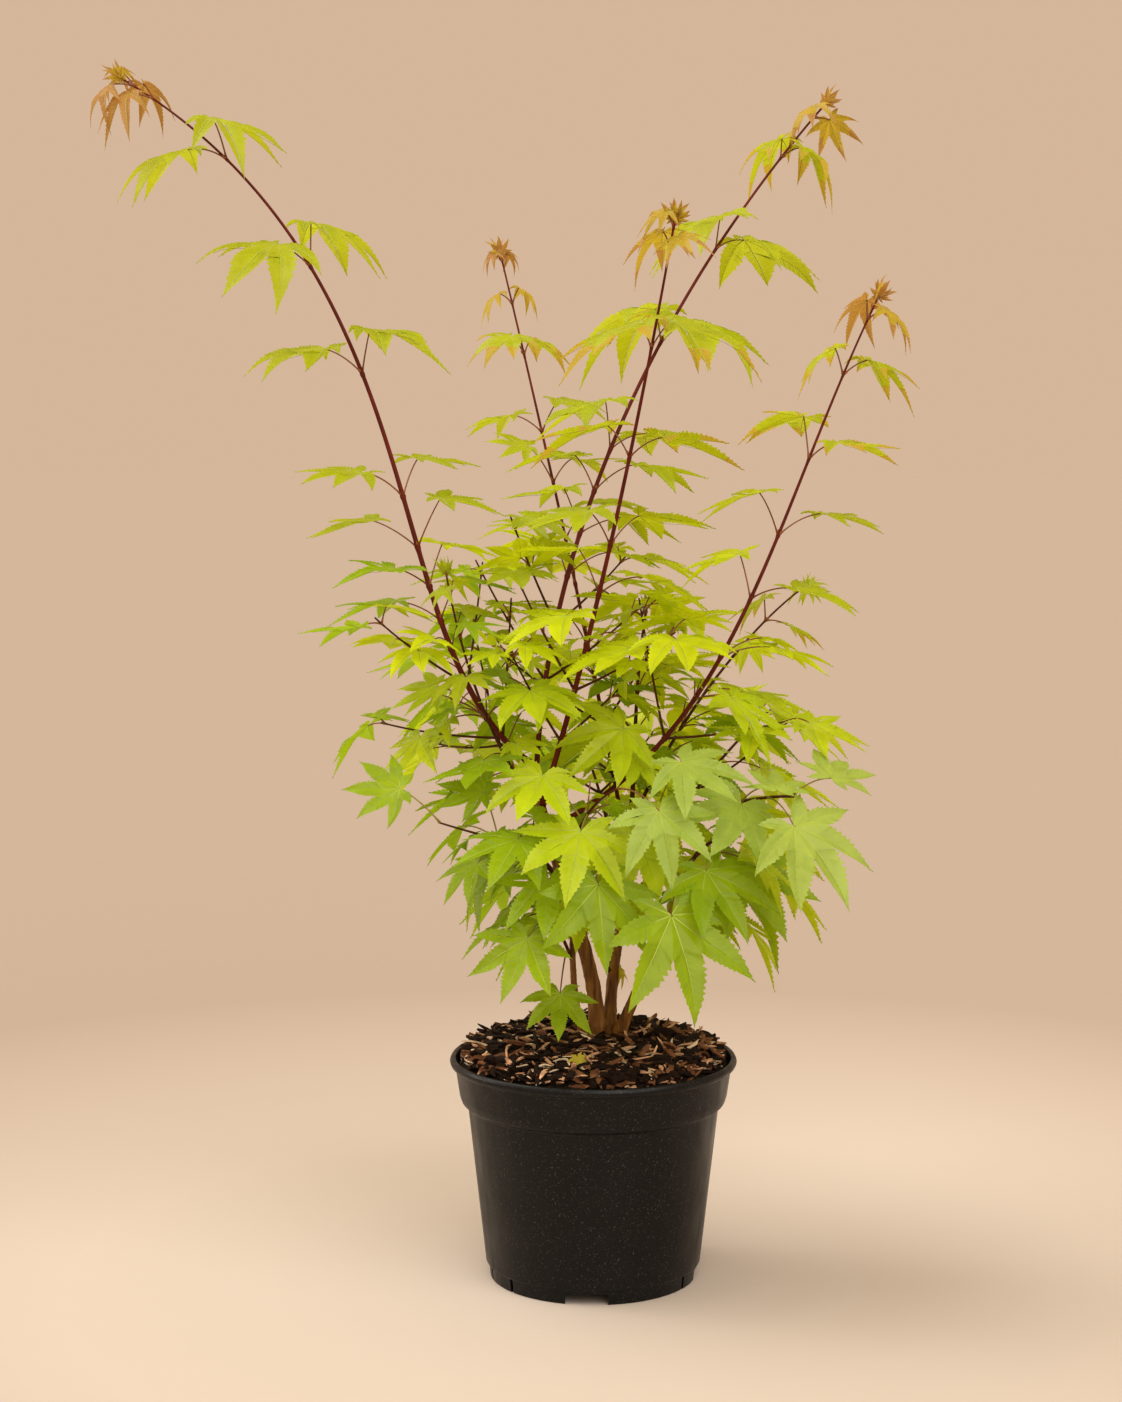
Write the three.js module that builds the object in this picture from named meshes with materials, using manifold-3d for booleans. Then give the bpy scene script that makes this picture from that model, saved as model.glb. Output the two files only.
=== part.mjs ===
// A young Japanese maple with several stems, in a round black nursery pot topped with bark mulch.
// Millimetres, +Z up. The origin is the middle of the pot's flat underside, and -Y is the front.
// The four stems rise from one flared foot. Each foliage mass is a shoot with opposite pairs of
// stalked, seven-lobed leaves, which a seeded rule sets out along it.
import * as THREE from "three";
import { mergeVertices } from "three/addons/utils/BufferGeometryUtils.js";
import Module from "manifold-3d";

const wasm = await Module();
wasm.setup();

// ---- Driving dimensions -------------------------------------------------------------------
const POT_HEIGHT = 148;
const RIM_RADIUS = 95;
const WALL = 1.6; // thickness of the pot's wall
const SKIRT_HEIGHT = 9.4; // the foot ring that the pot stands on
const SKIRT_RADIUS = 68.5;
const FLOOR_LIFT = 7.4; // the pot's floor hangs this far above the ground, inside the skirt
const FLOOR_TOP = 10;
const PAD_RADIUS = 14; // the round pad under the floor's middle that stands on the ground
const ROUND_STEPS = 40; // facets round the pot and the mulch
const GAP = 0.3; // clearance between neighbouring nodes
const SHORTEST = 0.06; // shorter edges, which only a join leaves, are closed up

const NOTCH = { width: 28, height: 7, first: -3.5, count: 4 }; // wide gaps in the skirt
const SLOT = { width: 2.6, height: 9, turns: [-74, -50, 58, 106, 130, 238] };

const MULCH_TOP = 156; // the mulch heaps up to the stems
const MULCH_EDGE = 144; // and lies this high at the pot's wall
const LUMP = 1.8; // height of the mulch's lumps

const TRUNK_FLARE = 1.5; // a stem's foot is this much wider at the mulch
const LIMB_SIDES = 8;
const SHOOT_SIDES = 4;
const TWIG_SIDES = 3;
const STEM_STEP = 34; // length of one straight piece of a stem

// Leaf: each lobe's angle and length, and the notch behind it, all as shares of the leaf's length.
const LOBES = [
  { angle: -128, length: 0.4 },
  { angle: -82, length: 0.72, notch: { angle: -61, reach: 0.4 } },
  { angle: -40, length: 0.93, notch: { angle: -20, reach: 0.46 } },
  { angle: 0, length: 1, notch: { angle: 20, reach: 0.46 } },
  { angle: 40, length: 0.93, notch: { angle: 61, reach: 0.4 } },
  { angle: 82, length: 0.72 },
  { angle: 128, length: 0.4 },
];
const LEAF_THICK = 0.018; // of its length, at the middle
const STALK_RADIUS = 0.62;
const ROOT = 0.25; // a stalk's root lies this far from the middle of its stem
const TRIES = 14; // how often a leaf looks for a clear place before it is left out
const GUARD = 0.4; // free space kept round a leaf
const GUARD_START = 4; // a stalk needs no free space this close to its own stem

// Boughs: a cubic curve of start, two handles and end, the radii at both ends, and the share of
// the length that belongs to the flared foot.
const BOUGHS = {
  bough_left: {
    path: [[1, -1, 155], [9, -4, 203], [-27, -9, 272], [-41, -14, 343]],
    radii: [5.2, 3.1],
    foot: 0.17,
  },
  bough_centre: {
    path: [[11, 3, 155], [10, 8, 218], [24, 10, 240], [25, 18, 305]],
    radii: [4.3, 2.4],
    foot: 0.2,
  },
  bough_right: {
    path: [[14, -3, 155], [24, -10, 184], [44, -24, 226], [57, -34, 267]],
    radii: [4.2, 2.3],
    foot: 0.17,
  },
  bough_low_left: {
    path: [[-3, -4, 155], [-17, -8, 184], [-12, -16, 225], [-15, -22, 252]],
    radii: [2.6, 1.6],
    foot: 0.16,
  },
};

// Foliage masses: the shoot's curve, its radii, the distances from its foot to its leaf pairs and
// to its pairs of side twigs, the compass turn of the first pair (0 is +X, 90 is +Y) and of the
// next one against it, and the length of leaf and of stalk at its foot and its head.
// Faces are single leaves with a place of their own: where the blade starts, its turn, drop, roll
// and length, and the share of the shoot where its stalk leaves.
const MASSES = {
  shoot_left: {
    path: [[-41.5, -14, 344], [-142, -22, 421], [-93, -31, 656], [-292, -45, 775]],
    radii: [2.4, 0.7],
    pairs: [41, 91, 111, 134, 160, 194, 276, 350, 434, 492, 506],
    twigs: [24, 66],
    turn: 182, cross: 40, leaf: [50, 54], stalk: [36, 24],
  },
  shoot_centre: {
    path: [[-33, -14, 318], [3, -43, 439], [29, -75, 570], [48, -105, 682]],
    radii: [2.3, 0.8],
    pairs: [112, 146, 179, 237, 307, 370, 382],
    twigs: [44, 80],
    turn: 215, cross: -60, leaf: [60, 64], stalk: [42, 16],
  },
  shoot_tall_right: {
    path: [[-37.5, -11.5, 328], [-34, 29, 493], [50, 69, 656], [155, 105, 777]],
    radii: [2.2, 0.8],
    pairs: [141, 171, 201, 231, 312, 386, 464, 500, 510],
    twigs: [70, 108],
    turn: 160, cross: 55, leaf: [56, 56], stalk: [40, 18],
  },
  shoot_right: {
    path: [[-28, -13, 301], [94, -26, 366], [112, -28, 500], [178, -30, 640]],
    radii: [2.2, 0.7],
    pairs: [66, 128, 160, 202, 246, 298, 355, 393, 400],
    twigs: [96],
    turn: 190, cross: -45, leaf: [58, 52], stalk: [42, 22],
  },
  shoot_back_left: {
    path: [[22, 16, 284], [-3, 58, 420], [-32, 91, 545], [-64, 125, 677]],
    radii: [1.8, 0.7],
    pairs: [50, 118, 150, 182, 214, 254, 290, 346, 383, 414],
    twigs: [84],
    turn: 170, cross: 60, leaf: [56, 34], stalk: [38, 16],
  },
  shoot_right_low: {
    path: [[25, 17, 296], [44, 28, 353], [100, 48, 425], [140, 60, 453]],
    radii: [1.6, 0.7],
    pairs: [44, 76, 106, 136, 168, 200],
    twigs: [],
    turn: 10, cross: 60, leaf: [58, 50], stalk: [34, 18],
  },
  shoot_left_inner: {
    path: [[-37, -12, 316], [-66, -34, 356], [-84, -52, 416], [-92, -66, 468]],
    radii: [1.4, 0.7],
    pairs: [44, 72, 100, 130, 158],
    twigs: [],
    turn: 250, cross: 90, leaf: [54, 44], stalk: [34, 18],
  },
  leader: {
    path: [[25, 18, 306], [28, 26, 350], [27, 33, 395], [35, 40, 440]],
    radii: [2, 0.9],
    pairs: [24, 52, 80, 108, 132],
    twigs: [],
    turn: 60, cross: 90, leaf: [58, 50], stalk: [40, 24],
  },
  branch_right_low: {
    path: [[-18, -7, 262], [22, -34, 300], [84, -56, 330], [126, -70, 330]],
    radii: [2, 1],
    pairs: [64, 94, 126],
    twigs: [],
    turn: 70, cross: 90, leaf: [62, 54], stalk: [36, 24],
    faces: [
      { at: [123, -110, 317], turn: -32, drop: 40, roll: 0, length: 66, share: 0.9 },
      { at: [148, -80, 343], turn: 70, drop: -14, roll: -14, length: 40, share: 0.99 },
      { at: [54, -95, 355], turn: -42, drop: 26, roll: 0, length: 54, share: 0.42 },
      { at: [113, -100, 338], turn: 88, drop: -12, roll: -8, length: 34, share: 0.8 },
    ],
  },
  branch_left_low: {
    path: [[-15.4, -22.6, 253], [-28, -30, 292], [-62, -48, 298], [-98, -62, 312]],
    radii: [1.4, 0.7],
    pairs: [44, 72],
    twigs: [],
    turn: 200, cross: 90, leaf: [46, 38], stalk: [30, 24],
    faces: [
      { at: [-122, -66, 334], turn: 178, drop: 4, roll: 26, length: 39, share: 0.99 },
      { at: [-70, -52, 330], turn: 160, drop: -8, roll: 20, length: 36, share: 0.62 },
    ],
  },
  spray_front_left: {
    path: [[-14, -13, 214], [-22, -36, 240], [-32, -58, 262], [-42, -72, 282]],
    radii: [1.4, 0.8],
    pairs: [52],
    twigs: [],
    turn: 170, cross: 90, leaf: [46, 46], stalk: [30, 24],
    faces: [
      { at: [-41, -95, 244], turn: -118, drop: 48, roll: 0, length: 50, share: 0.5 },
      { at: [-21, -70, 204], turn: -94, drop: 50, roll: 0, length: 38, share: 0.12 },
      { at: [-28, -85, 280], turn: -90, drop: 36, roll: 0, length: 52, share: 0.7 },
      { at: [-47, -84, 305], turn: -114, drop: 24, roll: 0, length: 52, share: 0.99 },
    ],
  },
  spray_front: {
    path: [[-18.5, -9, 258], [-16, -50, 306], [0, -78, 330], [16, -90, 338]],
    radii: [1.6, 0.8],
    pairs: [56, 84],
    twigs: [],
    turn: 190, cross: 90, leaf: [60, 56], stalk: [36, 26],
    faces: [
      { at: [3, -106, 280], turn: -80, drop: 66, roll: 14, length: 60, share: 0.55 },
      { at: [-32, -76, 344], turn: -112, drop: 34, roll: 0, length: 52, share: 0.62 },
      { at: [40, -112, 327], turn: -76, drop: 48, roll: -8, length: 53, share: 0.99 },
    ],
  },
  spray_front_right: {
    path: [[57, -34, 268], [62, -50, 292], [76, -66, 306], [92, -78, 306]],
    radii: [2, 0.9],
    pairs: [30],
    twigs: [],
    turn: 20, cross: 90, leaf: [64, 60], stalk: [34, 26],
    faces: [
      { at: [48, -112, 262], turn: -50, drop: 60, roll: 0, length: 74, share: 0.35 },
      { at: [70, -88, 286], turn: -46, drop: 44, roll: 0, length: 58, share: 0.8 },
      { at: [98, -36, 284], turn: -45, drop: 58, roll: 0, length: 62, share: 0.45 },
    ],
  },
  spray_back_left: {
    path: [[-35, -10, 310], [-58, 36, 338], [-78, 78, 372], [-96, 116, 398]],
    radii: [1.8, 0.8],
    pairs: [46, 104, 132, 156],
    twigs: [74],
    turn: 120, cross: 90, leaf: [60, 50], stalk: [38, 22],
  },
  spray_back: {
    path: [[19, 9, 244], [12, 54, 290], [2, 96, 326], [-12, 132, 346]],
    radii: [1.8, 0.8],
    pairs: [46, 74, 130, 158],
    twigs: [100],
    turn: 30, cross: 90, leaf: [66, 56], stalk: [38, 22],
  },
  spray_back_right: {
    path: [[23, 11, 266], [66, 46, 316], [98, 84, 350], [124, 114, 366]],
    radii: [1.8, 0.8],
    pairs: [50, 108, 136, 166],
    twigs: [78],
    turn: 100, cross: 90, leaf: [64, 54], stalk: [38, 22],
  },
  spray_low_back: {
    path: [[11, 6, 204], [-6, 42, 246], [-28, 70, 266], [-56, 94, 276]],
    radii: [1.5, 0.8],
    pairs: [46, 72, 98, 126],
    twigs: [],
    turn: 170, cross: 90, leaf: [64, 56], stalk: [34, 22],
  },
  spray_right: {
    path: [[37, -18, 214], [62, 6, 250], [92, 24, 274], [122, 38, 286]],
    radii: [1.5, 0.8],
    pairs: [46, 72, 98, 124],
    twigs: [],
    turn: 10, cross: 90, leaf: [66, 58], stalk: [34, 22],
  },
};

// A side twig: its length at the shoot's foot and head, its angle to the shoot, and its two pairs
// of leaves, at shares of its length and with leaves as shares of the shoot's own.
const TWIG = {
  length: [84, 56], part: 48, radii: [1, 0.65],
  pairs: [0.56, 0.98], turn: 60, cross: 80, leaf: [1, 0.9], stalk: [22, 14],
};

// How a blade hangs by the height of its stem: its drop, its arch, and its stalk's angle.
const HANG = [
  { height: 220, drop: 52, droop: 0.12, part: 62 },
  { height: 380, drop: 16, droop: 0.12, part: 54 },
  { height: 520, drop: 8, droop: 0.16, part: 44 },
  { height: 640, drop: 12, droop: 0.36, part: 34 },
];
// The young leaves within this reach of a shoot's tip are shorter, hang limper and start closer.
// Only shoots that end above this height have such a tip.
const YOUNG = { reach: 90, size: 0.5, drop: 40, droop: 0.46, stalk: 0.5, height: 400 };

const MATERIALS = {
  pot: new THREE.MeshStandardMaterial({ color: 0x1c1b1a, roughness: 0.5, metalness: 0 }),
  mulch: new THREE.MeshStandardMaterial({ color: 0x3a261a, roughness: 0.95, metalness: 0 }),
  bark: new THREE.MeshStandardMaterial({ color: 0x5a3318, roughness: 0.6, metalness: 0 }),
  foliage: new THREE.MeshStandardMaterial({ color: 0x8fb02c, roughness: 0.5, metalness: 0 }),
};

// ---- Small tools --------------------------------------------------------------------------
const UP = new THREE.Vector3(0, 0, 1);
const radians = THREE.MathUtils.degToRad;
const mix = (pair, share) => pair[0] + (pair[1] - pair[0]) * share;
const vector = (p) => new THREE.Vector3(...p);

// A repeatable row of numbers from 0 to 1 for whole-number seeds.
function draws(...seeds) {
  let state = 1;
  for (const seed of seeds) state = (state * 1664525 + seed * 7919 + 1013904223) % 4294967296;
  const next = () => (state = (state * 1664525 + 1013904223) % 4294967296) / 4294967296;
  next();
  next();
  return next;
}

function solid(geometry) {
  geometry.deleteAttribute("normal");
  geometry.deleteAttribute("uv");
  const merged = mergeVertices(geometry, 1e-4);
  const made = (triVerts) =>
    new wasm.Manifold(
      new wasm.Mesh({ numProp: 3, vertProperties: merged.attributes.position.array, triVerts }),
    );
  const faces = new Uint32Array(merged.index.array);
  const shape = made(faces);
  return shape.volume() < 0 ? made(faces.reverse()) : shape;
}

function indexed(points, faces) {
  const geometry = new THREE.BufferGeometry().setFromPoints(points);
  return geometry.setIndex(faces);
}

// The largest body of a shape, without the scraps that a cut leaves.
function largest(shape) {
  return shape.decompose().sort((a, b) => b.volume() - a.volume())[0];
}

// The same closed shape with its shortest edges shrunk to a point, wherever that keeps it closed.
function cleaned(shape) {
  const { vertProperties: at, triVerts } = shape.getMesh();
  let faces = Array.from({ length: triVerts.length / 3 }, (_, i) => [...triVerts.slice(3 * i, 3 * i + 3)]);
  const apart = (a, b) => Math.hypot(...[0, 1, 2].map((k) => at[3 * a + k] - at[3 * b + k]));
  const around = (a) => new Set(faces.filter((face) => face.includes(a)).flat());
  const edges = () => faces.flatMap(([a, b, c]) => [[a, b], [b, c], [c, a]]);
  const isShort = ([a, b]) => a < b && apart(a, b) < SHORTEST;
  const isFree = ([a, b]) => around(a).intersection(around(b)).size === 4;
  for (let edge; (edge = edges().filter(isShort).find(isFree)); ) {
    const [a, b] = edge;
    faces = faces.map((face) => face.map((i) => (i === b ? a : i)));
    faces = faces.filter((face) => new Set(face).size === 3);
  }
  const geometry = new THREE.BufferGeometry();
  geometry.setAttribute("position", new THREE.BufferAttribute(at, 3)).setIndex(faces.flat());
  return solid(geometry);
}

function mesh(name, shape, material) {
  const { vertProperties, triVerts } = shape.getMesh();
  const geometry = new THREE.BufferGeometry();
  geometry.setAttribute("position", new THREE.BufferAttribute(vertProperties, 3));
  geometry.setIndex(new THREE.BufferAttribute(triVerts, 1));
  geometry.computeVertexNormals();
  const made = new THREE.Mesh(geometry, material);
  made.name = name;
  return made;
}

// ---- Pot and mulch ------------------------------------------------------------------------
function turned(profile) {
  const points = profile.map(([r, z]) => new THREE.Vector2(r, z));
  return new THREE.LatheGeometry(points, ROUND_STEPS).rotateX(Math.PI / 2);
}

// The wall's outside, from the step above the skirt to the collar under the rim.
const WALL_OUTSIDE = [[71.2, 10.2], [83, 115.4], [87, 118], [88.4, 122.4], [91.2, 141.4]];
const RIM_ROLL = [[94, 142.2], [RIM_RADIUS, 145], [93.4, POT_HEIGHT]];
const INSIDE = WALL_OUTSIDE.map(([r, z]) => [r - WALL, z + (z > 115 && z < 120 ? WALL : 0)]);

function potSolid() {
  const profile = [
    [0, 0],
    [PAD_RADIUS, 0],
    [PAD_RADIUS + 1, FLOOR_LIFT],
    [SKIRT_RADIUS - 2.6, FLOOR_LIFT],
    [SKIRT_RADIUS - 2.2, 0],
    [SKIRT_RADIUS, 0],
    [SKIRT_RADIUS + 1, SKIRT_HEIGHT],
    ...WALL_OUTSIDE,
    ...RIM_ROLL,
    [90.8, POT_HEIGHT - 0.6],
    ...INSIDE.toReversed(),
    [0, FLOOR_TOP],
  ];
  const cut = (width, height, turn) =>
    solid(
      new THREE.BoxGeometry(width, 12, height * 2)
        .translate(0, -SKIRT_RADIUS, 0)
        .rotateZ(radians(turn)),
    );
  const cuts = SLOT.turns.map((turn) => cut(SLOT.width, SLOT.height, turn));
  for (let i = 0; i < NOTCH.count; i++)
    cuts.push(cut(NOTCH.width, NOTCH.height, NOTCH.first + (i * 360) / NOTCH.count));
  return solid(turned(profile)).subtract(wasm.Manifold.union(cuts));
}

function mulchSolid() {
  const side = INSIDE.map(([r, z]) => [r - GAP, z]).filter(([, z]) => z < MULCH_EDGE);
  const heap = [[87, MULCH_EDGE], [78, 148], [62, 151.5], [44, 154.5], [26, MULCH_TOP], [0, MULCH_TOP]];
  const floor = FLOOR_TOP + GAP;
  side[0][1] = floor;
  const geometry = turned([[0, floor], ...side, ...heap]);
  const merged = mergeVertices(geometry.deleteAttribute("normal").deleteAttribute("uv"), 1e-3);
  const at = merged.attributes.position;
  const next = draws(3);
  for (let i = 0; i < at.count; i++) {
    const r = Math.hypot(at.getX(i), at.getY(i));
    if (at.getZ(i) > MULCH_EDGE + 1 && r > 30) at.setZ(i, at.getZ(i) + LUMP * (2 * next() - 1));
  }
  return solid(merged);
}

// ---- Stems --------------------------------------------------------------------------------
// A closed tapering tube through the points.
function tube(points, radii, sides) {
  const rings = [];
  let side = new THREE.Vector3(0, 1, 0);
  points.forEach((point, i) => {
    const along = points[Math.min(i + 1, points.length - 1)].clone().sub(points[Math.max(i - 1, 0)]);
    along.normalize();
    side = side.clone().addScaledVector(along, -side.dot(along)).normalize();
    const other = along.clone().cross(side);
    for (let k = 0; k < sides; k++) {
      const turn = (k * 2 * Math.PI) / sides;
      const out = side.clone().multiplyScalar(Math.cos(turn)).addScaledVector(other, Math.sin(turn));
      rings.push(point.clone().addScaledVector(out, radii[i]));
    }
  });
  const faces = [];
  const last = (points.length - 1) * sides;
  for (let i = 0; i < points.length - 1; i++)
    for (let k = 0; k < sides; k++) {
      const a = i * sides + k;
      const b = i * sides + ((k + 1) % sides);
      faces.push(a, b, a + sides, b, b + sides, a + sides);
    }
  for (let k = 1; k < sides - 1; k++) faces.push(0, k + 1, k, last, last + k, last + k + 1);
  return solid(indexed(rings, faces));
}

function curveOf(path) {
  return new THREE.CubicBezierCurve3(...path.map(vector));
}

// The stretch of a stem's curve between two shares of its length, as a tube. Extra widens it.
function stem({ path, radii }, from, to, sides, extra = 0, flare = () => 1) {
  const curve = curveOf(path);
  const steps = Math.max(1, Math.ceil((curve.getLength() * (to - from)) / STEM_STEP)) + 1;
  const shares = Array.from({ length: steps + 1 }, (_, i) => mix([from, to], i / steps));
  const points = shares.map((share) => curve.getPointAt(share));
  if (extra) {
    points[0].addScaledVector(curve.getTangentAt(from), -extra);
    points[steps].addScaledVector(curve.getTangentAt(to), extra);
  }
  return tube(points, shares.map((share) => mix(radii, share) * flare(share) + extra), sides);
}

// The feet of all stems, joined and cut flat at the mulch, clear of the boughs that go on.
function trunkSolid(boughs) {
  const feet = Object.values(BOUGHS).map((bough) => {
    const flare = (share) => mix([TRUNK_FLARE, 1], Math.sqrt(Math.min(1, share / bough.foot)));
    return stem(bough, 0, bough.foot, LIMB_SIDES, 0, flare);
  });
  const ground = new THREE.BoxGeometry(120, 120, 40).translate(0, 0, MULCH_TOP + GAP - 20);
  const cuts = wasm.Manifold.union([solid(ground), ...boughs]);
  return cleaned(largest(wasm.Manifold.union(feet).subtract(cuts)));
}

// ---- Leaves -------------------------------------------------------------------------------
function heading(turn, climb) {
  const [t, c] = [radians(turn), radians(climb)];
  return new THREE.Vector3(Math.cos(t) * Math.cos(c), Math.sin(t) * Math.cos(c), Math.sin(c));
}

// The way off a stem towards a compass turn, parted from the stem by an angle.
function offStem(tangent, turn, part) {
  const out = heading(turn, 0);
  out.addScaledVector(tangent, -out.dot(tangent)).normalize();
  return tangent
    .clone()
    .multiplyScalar(Math.cos(radians(part)))
    .addScaledVector(out, Math.sin(radians(part)));
}

// A leaf's place: where its stalk starts, where its blade starts and the blade's directions.
function leafPlace(start, base, { turn, drop, roll, length, droop }) {
  const forward = heading(turn, -drop);
  const flat = UP.clone().addScaledVector(forward, -forward.z).normalize();
  const side = flat.clone().cross(forward);
  const tilt = radians(roll);
  const normal = flat.multiplyScalar(Math.cos(tilt)).addScaledVector(side, Math.sin(tilt));
  return { start, base, forward, normal, across: normal.clone().cross(forward), length, droop };
}

// One closed leaf: a lobed blade, thickest at its middle and arching down, on a three-sided stalk.
function leafSolid({ start, base, forward, normal, across, length, droop }, guard = 0) {
  const size = length + guard;
  const at = (reach, angle, lift = 0) =>
    base
      .clone()
      .addScaledVector(forward, reach * Math.cos(radians(angle)))
      .addScaledVector(across, reach * Math.sin(radians(angle)))
      .addScaledVector(normal, lift);
  const edge = (reach, angle) => at(size * reach, angle, -size * droop * reach * reach);
  const rim = LOBES.flatMap(({ angle, length: reach, notch }) => {
    const tip = edge(reach, angle);
    return notch ? [tip, edge(notch.reach, notch.angle)] : [tip];
  });
  const half = (LEAF_THICK * length) / 2 + guard;
  const width = STALK_RADIUS + guard;
  const neck = [at(0, 0, half), at(2 * width, 140), at(2 * width, -140)];

  const along = base.clone().sub(start).normalize();
  const root = start.clone().addScaledVector(along, guard ? GUARD_START : ROOT);
  const up = normal.clone().addScaledVector(along, -normal.dot(along)).normalize();
  const beside = along.clone().cross(up);
  const foot = [90, 210, 330].map((turn) =>
    root
      .clone()
      .addScaledVector(up, width * Math.sin(radians(turn)))
      .addScaledVector(beside, width * Math.cos(radians(turn))),
  );

  const faces = [];
  const last = rim.length - 1;
  const [top, left, right, under] = [1, 2, 3, 7].map((i) => last + i);
  for (let i = 0; i < last; i++) faces.push(top, i, i + 1, under, i + 1, i);
  faces.push(top, last, left, under, left, last, top, right, 0, under, 0, right, under, right, left);
  for (let k = 0; k < 3; k++) {
    const [a, b] = [top + k, top + ((k + 1) % 3)];
    faces.push(a, b, b + 3, a, b + 3, a + 3);
  }
  faces.push(top + 3, top + 4, top + 5);
  return solid(indexed([...rim, ...neck, ...foot, at(0, 0, -half)], faces));
}

function hangAt(height) {
  const upper = HANG.findIndex((stop) => stop.height > height);
  if (upper === 0) return HANG[0];
  if (upper < 0) return HANG.at(-1);
  const [a, b] = [HANG[upper - 1], HANG[upper]];
  const share = (height - a.height) / (b.height - a.height);
  const blend = (key) => mix([a[key], b[key]], share);
  return { drop: blend("drop"), droop: blend("droop"), part: blend("part") };
}

// The places that one leaf tries in turn.
function leafTries(axis, seed, distance, turn) {
  const share = distance / axis.whole;
  const start = axis.curve.getPointAt(share);
  const tangent = axis.curve.getTangentAt(share);
  const hang = hangAt(start.z);
  const age = axis.young ? Math.min(1, (axis.whole - distance) / YOUNG.reach) : 1;
  return Array.from({ length: TRIES }, (_, attempt) => {
    const draw = draws(seed, attempt);
    const wander = 1 + attempt * 0.3;
    const spread = (amount) => amount * wander * (2 * draw() - 1);
    const side = turn + spread(14);
    const way = offStem(tangent, side, hang.part + spread(7));
    const stalk = mix(axis.stalk, share) * mix([YOUNG.stalk, 1], age) * (1 + spread(0.12));
    return leafPlace(start, start.clone().addScaledVector(way, stalk), {
      turn: side + spread(12),
      drop: mix([YOUNG.drop, hang.drop], age) + spread(6),
      roll: spread(11),
      length: mix(axis.leaf, share) * mix([YOUNG.size, 1], age) * (1 - attempt * 0.012 + spread(0.08)),
      droop: mix([YOUNG.droop, hang.droop], age),
    });
  });
}

// A side twig: it runs on nearly straight, lifts its tip a little and bears two pairs of leaves.
function twigAxis(mass, seed, distance, turn) {
  const share = distance / mass.whole;
  const draw = draws(seed, TRIES);
  const spread = (amount) => amount * (2 * draw() - 1);
  const start = mass.curve.getPointAt(share);
  const way = offStem(mass.curve.getTangentAt(share), turn + spread(12), TWIG.part + spread(6));
  const length = mix(TWIG.length, share) * (1 + spread(0.12));
  const path = [[0, 0], [0.35, 0], [0.7, 0.04], [1, 0.12]].map(([out, lift]) =>
    start.clone().addScaledVector(way, length * out).addScaledVector(UP, length * lift).toArray(),
  );
  return {
    path,
    radii: TWIG.radii,
    pairs: TWIG.pairs.map((part) => part * length),
    turn: turn + TWIG.turn,
    cross: TWIG.cross,
    leaf: TWIG.leaf.map((size) => size * mix(mass.leaf, share)),
    stalk: TWIG.stalk,
    young: false,
  };
}

function withCurve(axis) {
  const curve = curveOf(axis.path);
  const whole = curve.getLength();
  return { ...axis, curve, whole, pairs: axis.pairs.map((distance) => Math.min(distance, whole - 1)) };
}

// Calls back for both sides of every node of an axis, with a seed and a compass turn of its own.
function eachSide(axis, distances, row, callback) {
  distances.forEach((distance, node) => {
    for (const side of [0, 1])
      callback(64 * row + 2 * node + side, distance, axis.turn + axis.cross * (node % 2) + 180 * side);
  });
}

// ---- Crown --------------------------------------------------------------------------------
const boxesMeet = (a, b) => [0, 1, 2].every((i) => a.min[i] <= b.max[i] && b.min[i] <= a.max[i]);
const meets = (a, b) => boxesMeet(a.boundingBox(), b.boundingBox()) && !a.intersect(b).isEmpty();

// Grows every mass. A leaf or twig keeps clear of all that stands already and of every shoot.
function crown(fixed) {
  const masses = Object.entries(MASSES).map(([name, mass]) => {
    const shoot = withCurve({ ...mass, name, young: mass.path[3][2] > YOUNG.height });
    return { ...shoot, parts: [stem(shoot, 0, 1, SHOOT_SIDES)] };
  });
  const placed = [...fixed, ...masses.flatMap((mass) => mass.parts)];
  const isClear = (shape) => !placed.some((other) => meets(shape, other));
  const keep = (mass, shape) => {
    placed.push(shape);
    mass.parts.push(shape);
  };
  const addLeaf = (mass, tries) => {
    const clear = tries.find((leaf) => isClear(leafSolid(leaf, GUARD)));
    if (clear) keep(mass, leafSolid(clear));
  };

  for (const mass of masses)
    for (const { at, share, ...blade } of mass.faces ?? []) {
      const start = mass.curve.getPointAt(share);
      addLeaf(mass, [leafPlace(start, vector(at), { ...blade, droop: HANG[0].droop })]);
    }
  masses.forEach((mass, row) => {
    mass.axes = [mass];
    eachSide(mass, mass.twigs, 100 + row, (seed, distance, turn) => {
      const twig = withCurve(twigAxis(mass, seed, distance, turn));
      if (!isClear(stem(twig, 0.12, 1, TWIG_SIDES, GUARD))) return;
      keep(mass, stem(twig, 0, 1, TWIG_SIDES));
      mass.axes.push(twig);
    });
  });
  masses.forEach((mass, row) =>
    mass.axes.forEach((axis, place) =>
      eachSide(axis, axis.pairs, 8 * row + place, (seed, distance, turn) =>
        addLeaf(mass, leafTries(axis, seed, distance, turn)),
      ),
    ),
  );
  return masses;
}

const plant = new THREE.Group();
const pot = potSolid();
const mulch = mulchSolid();
const boughs = Object.entries(BOUGHS);
const clearance = boughs.map(([, bough]) => stem(bough, bough.foot, 1, LIMB_SIDES, GAP));
const limbs = boughs.map(([, bough]) => stem(bough, bough.foot, 1, LIMB_SIDES));
const trunk = trunkSolid(clearance);
plant.add(mesh("pot", pot, MATERIALS.pot), mesh("mulch", mulch, MATERIALS.mulch));
plant.add(mesh("trunk", trunk, MATERIALS.bark));
boughs.forEach(([name], i) => plant.add(mesh(name, limbs[i], MATERIALS.bark)));

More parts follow.
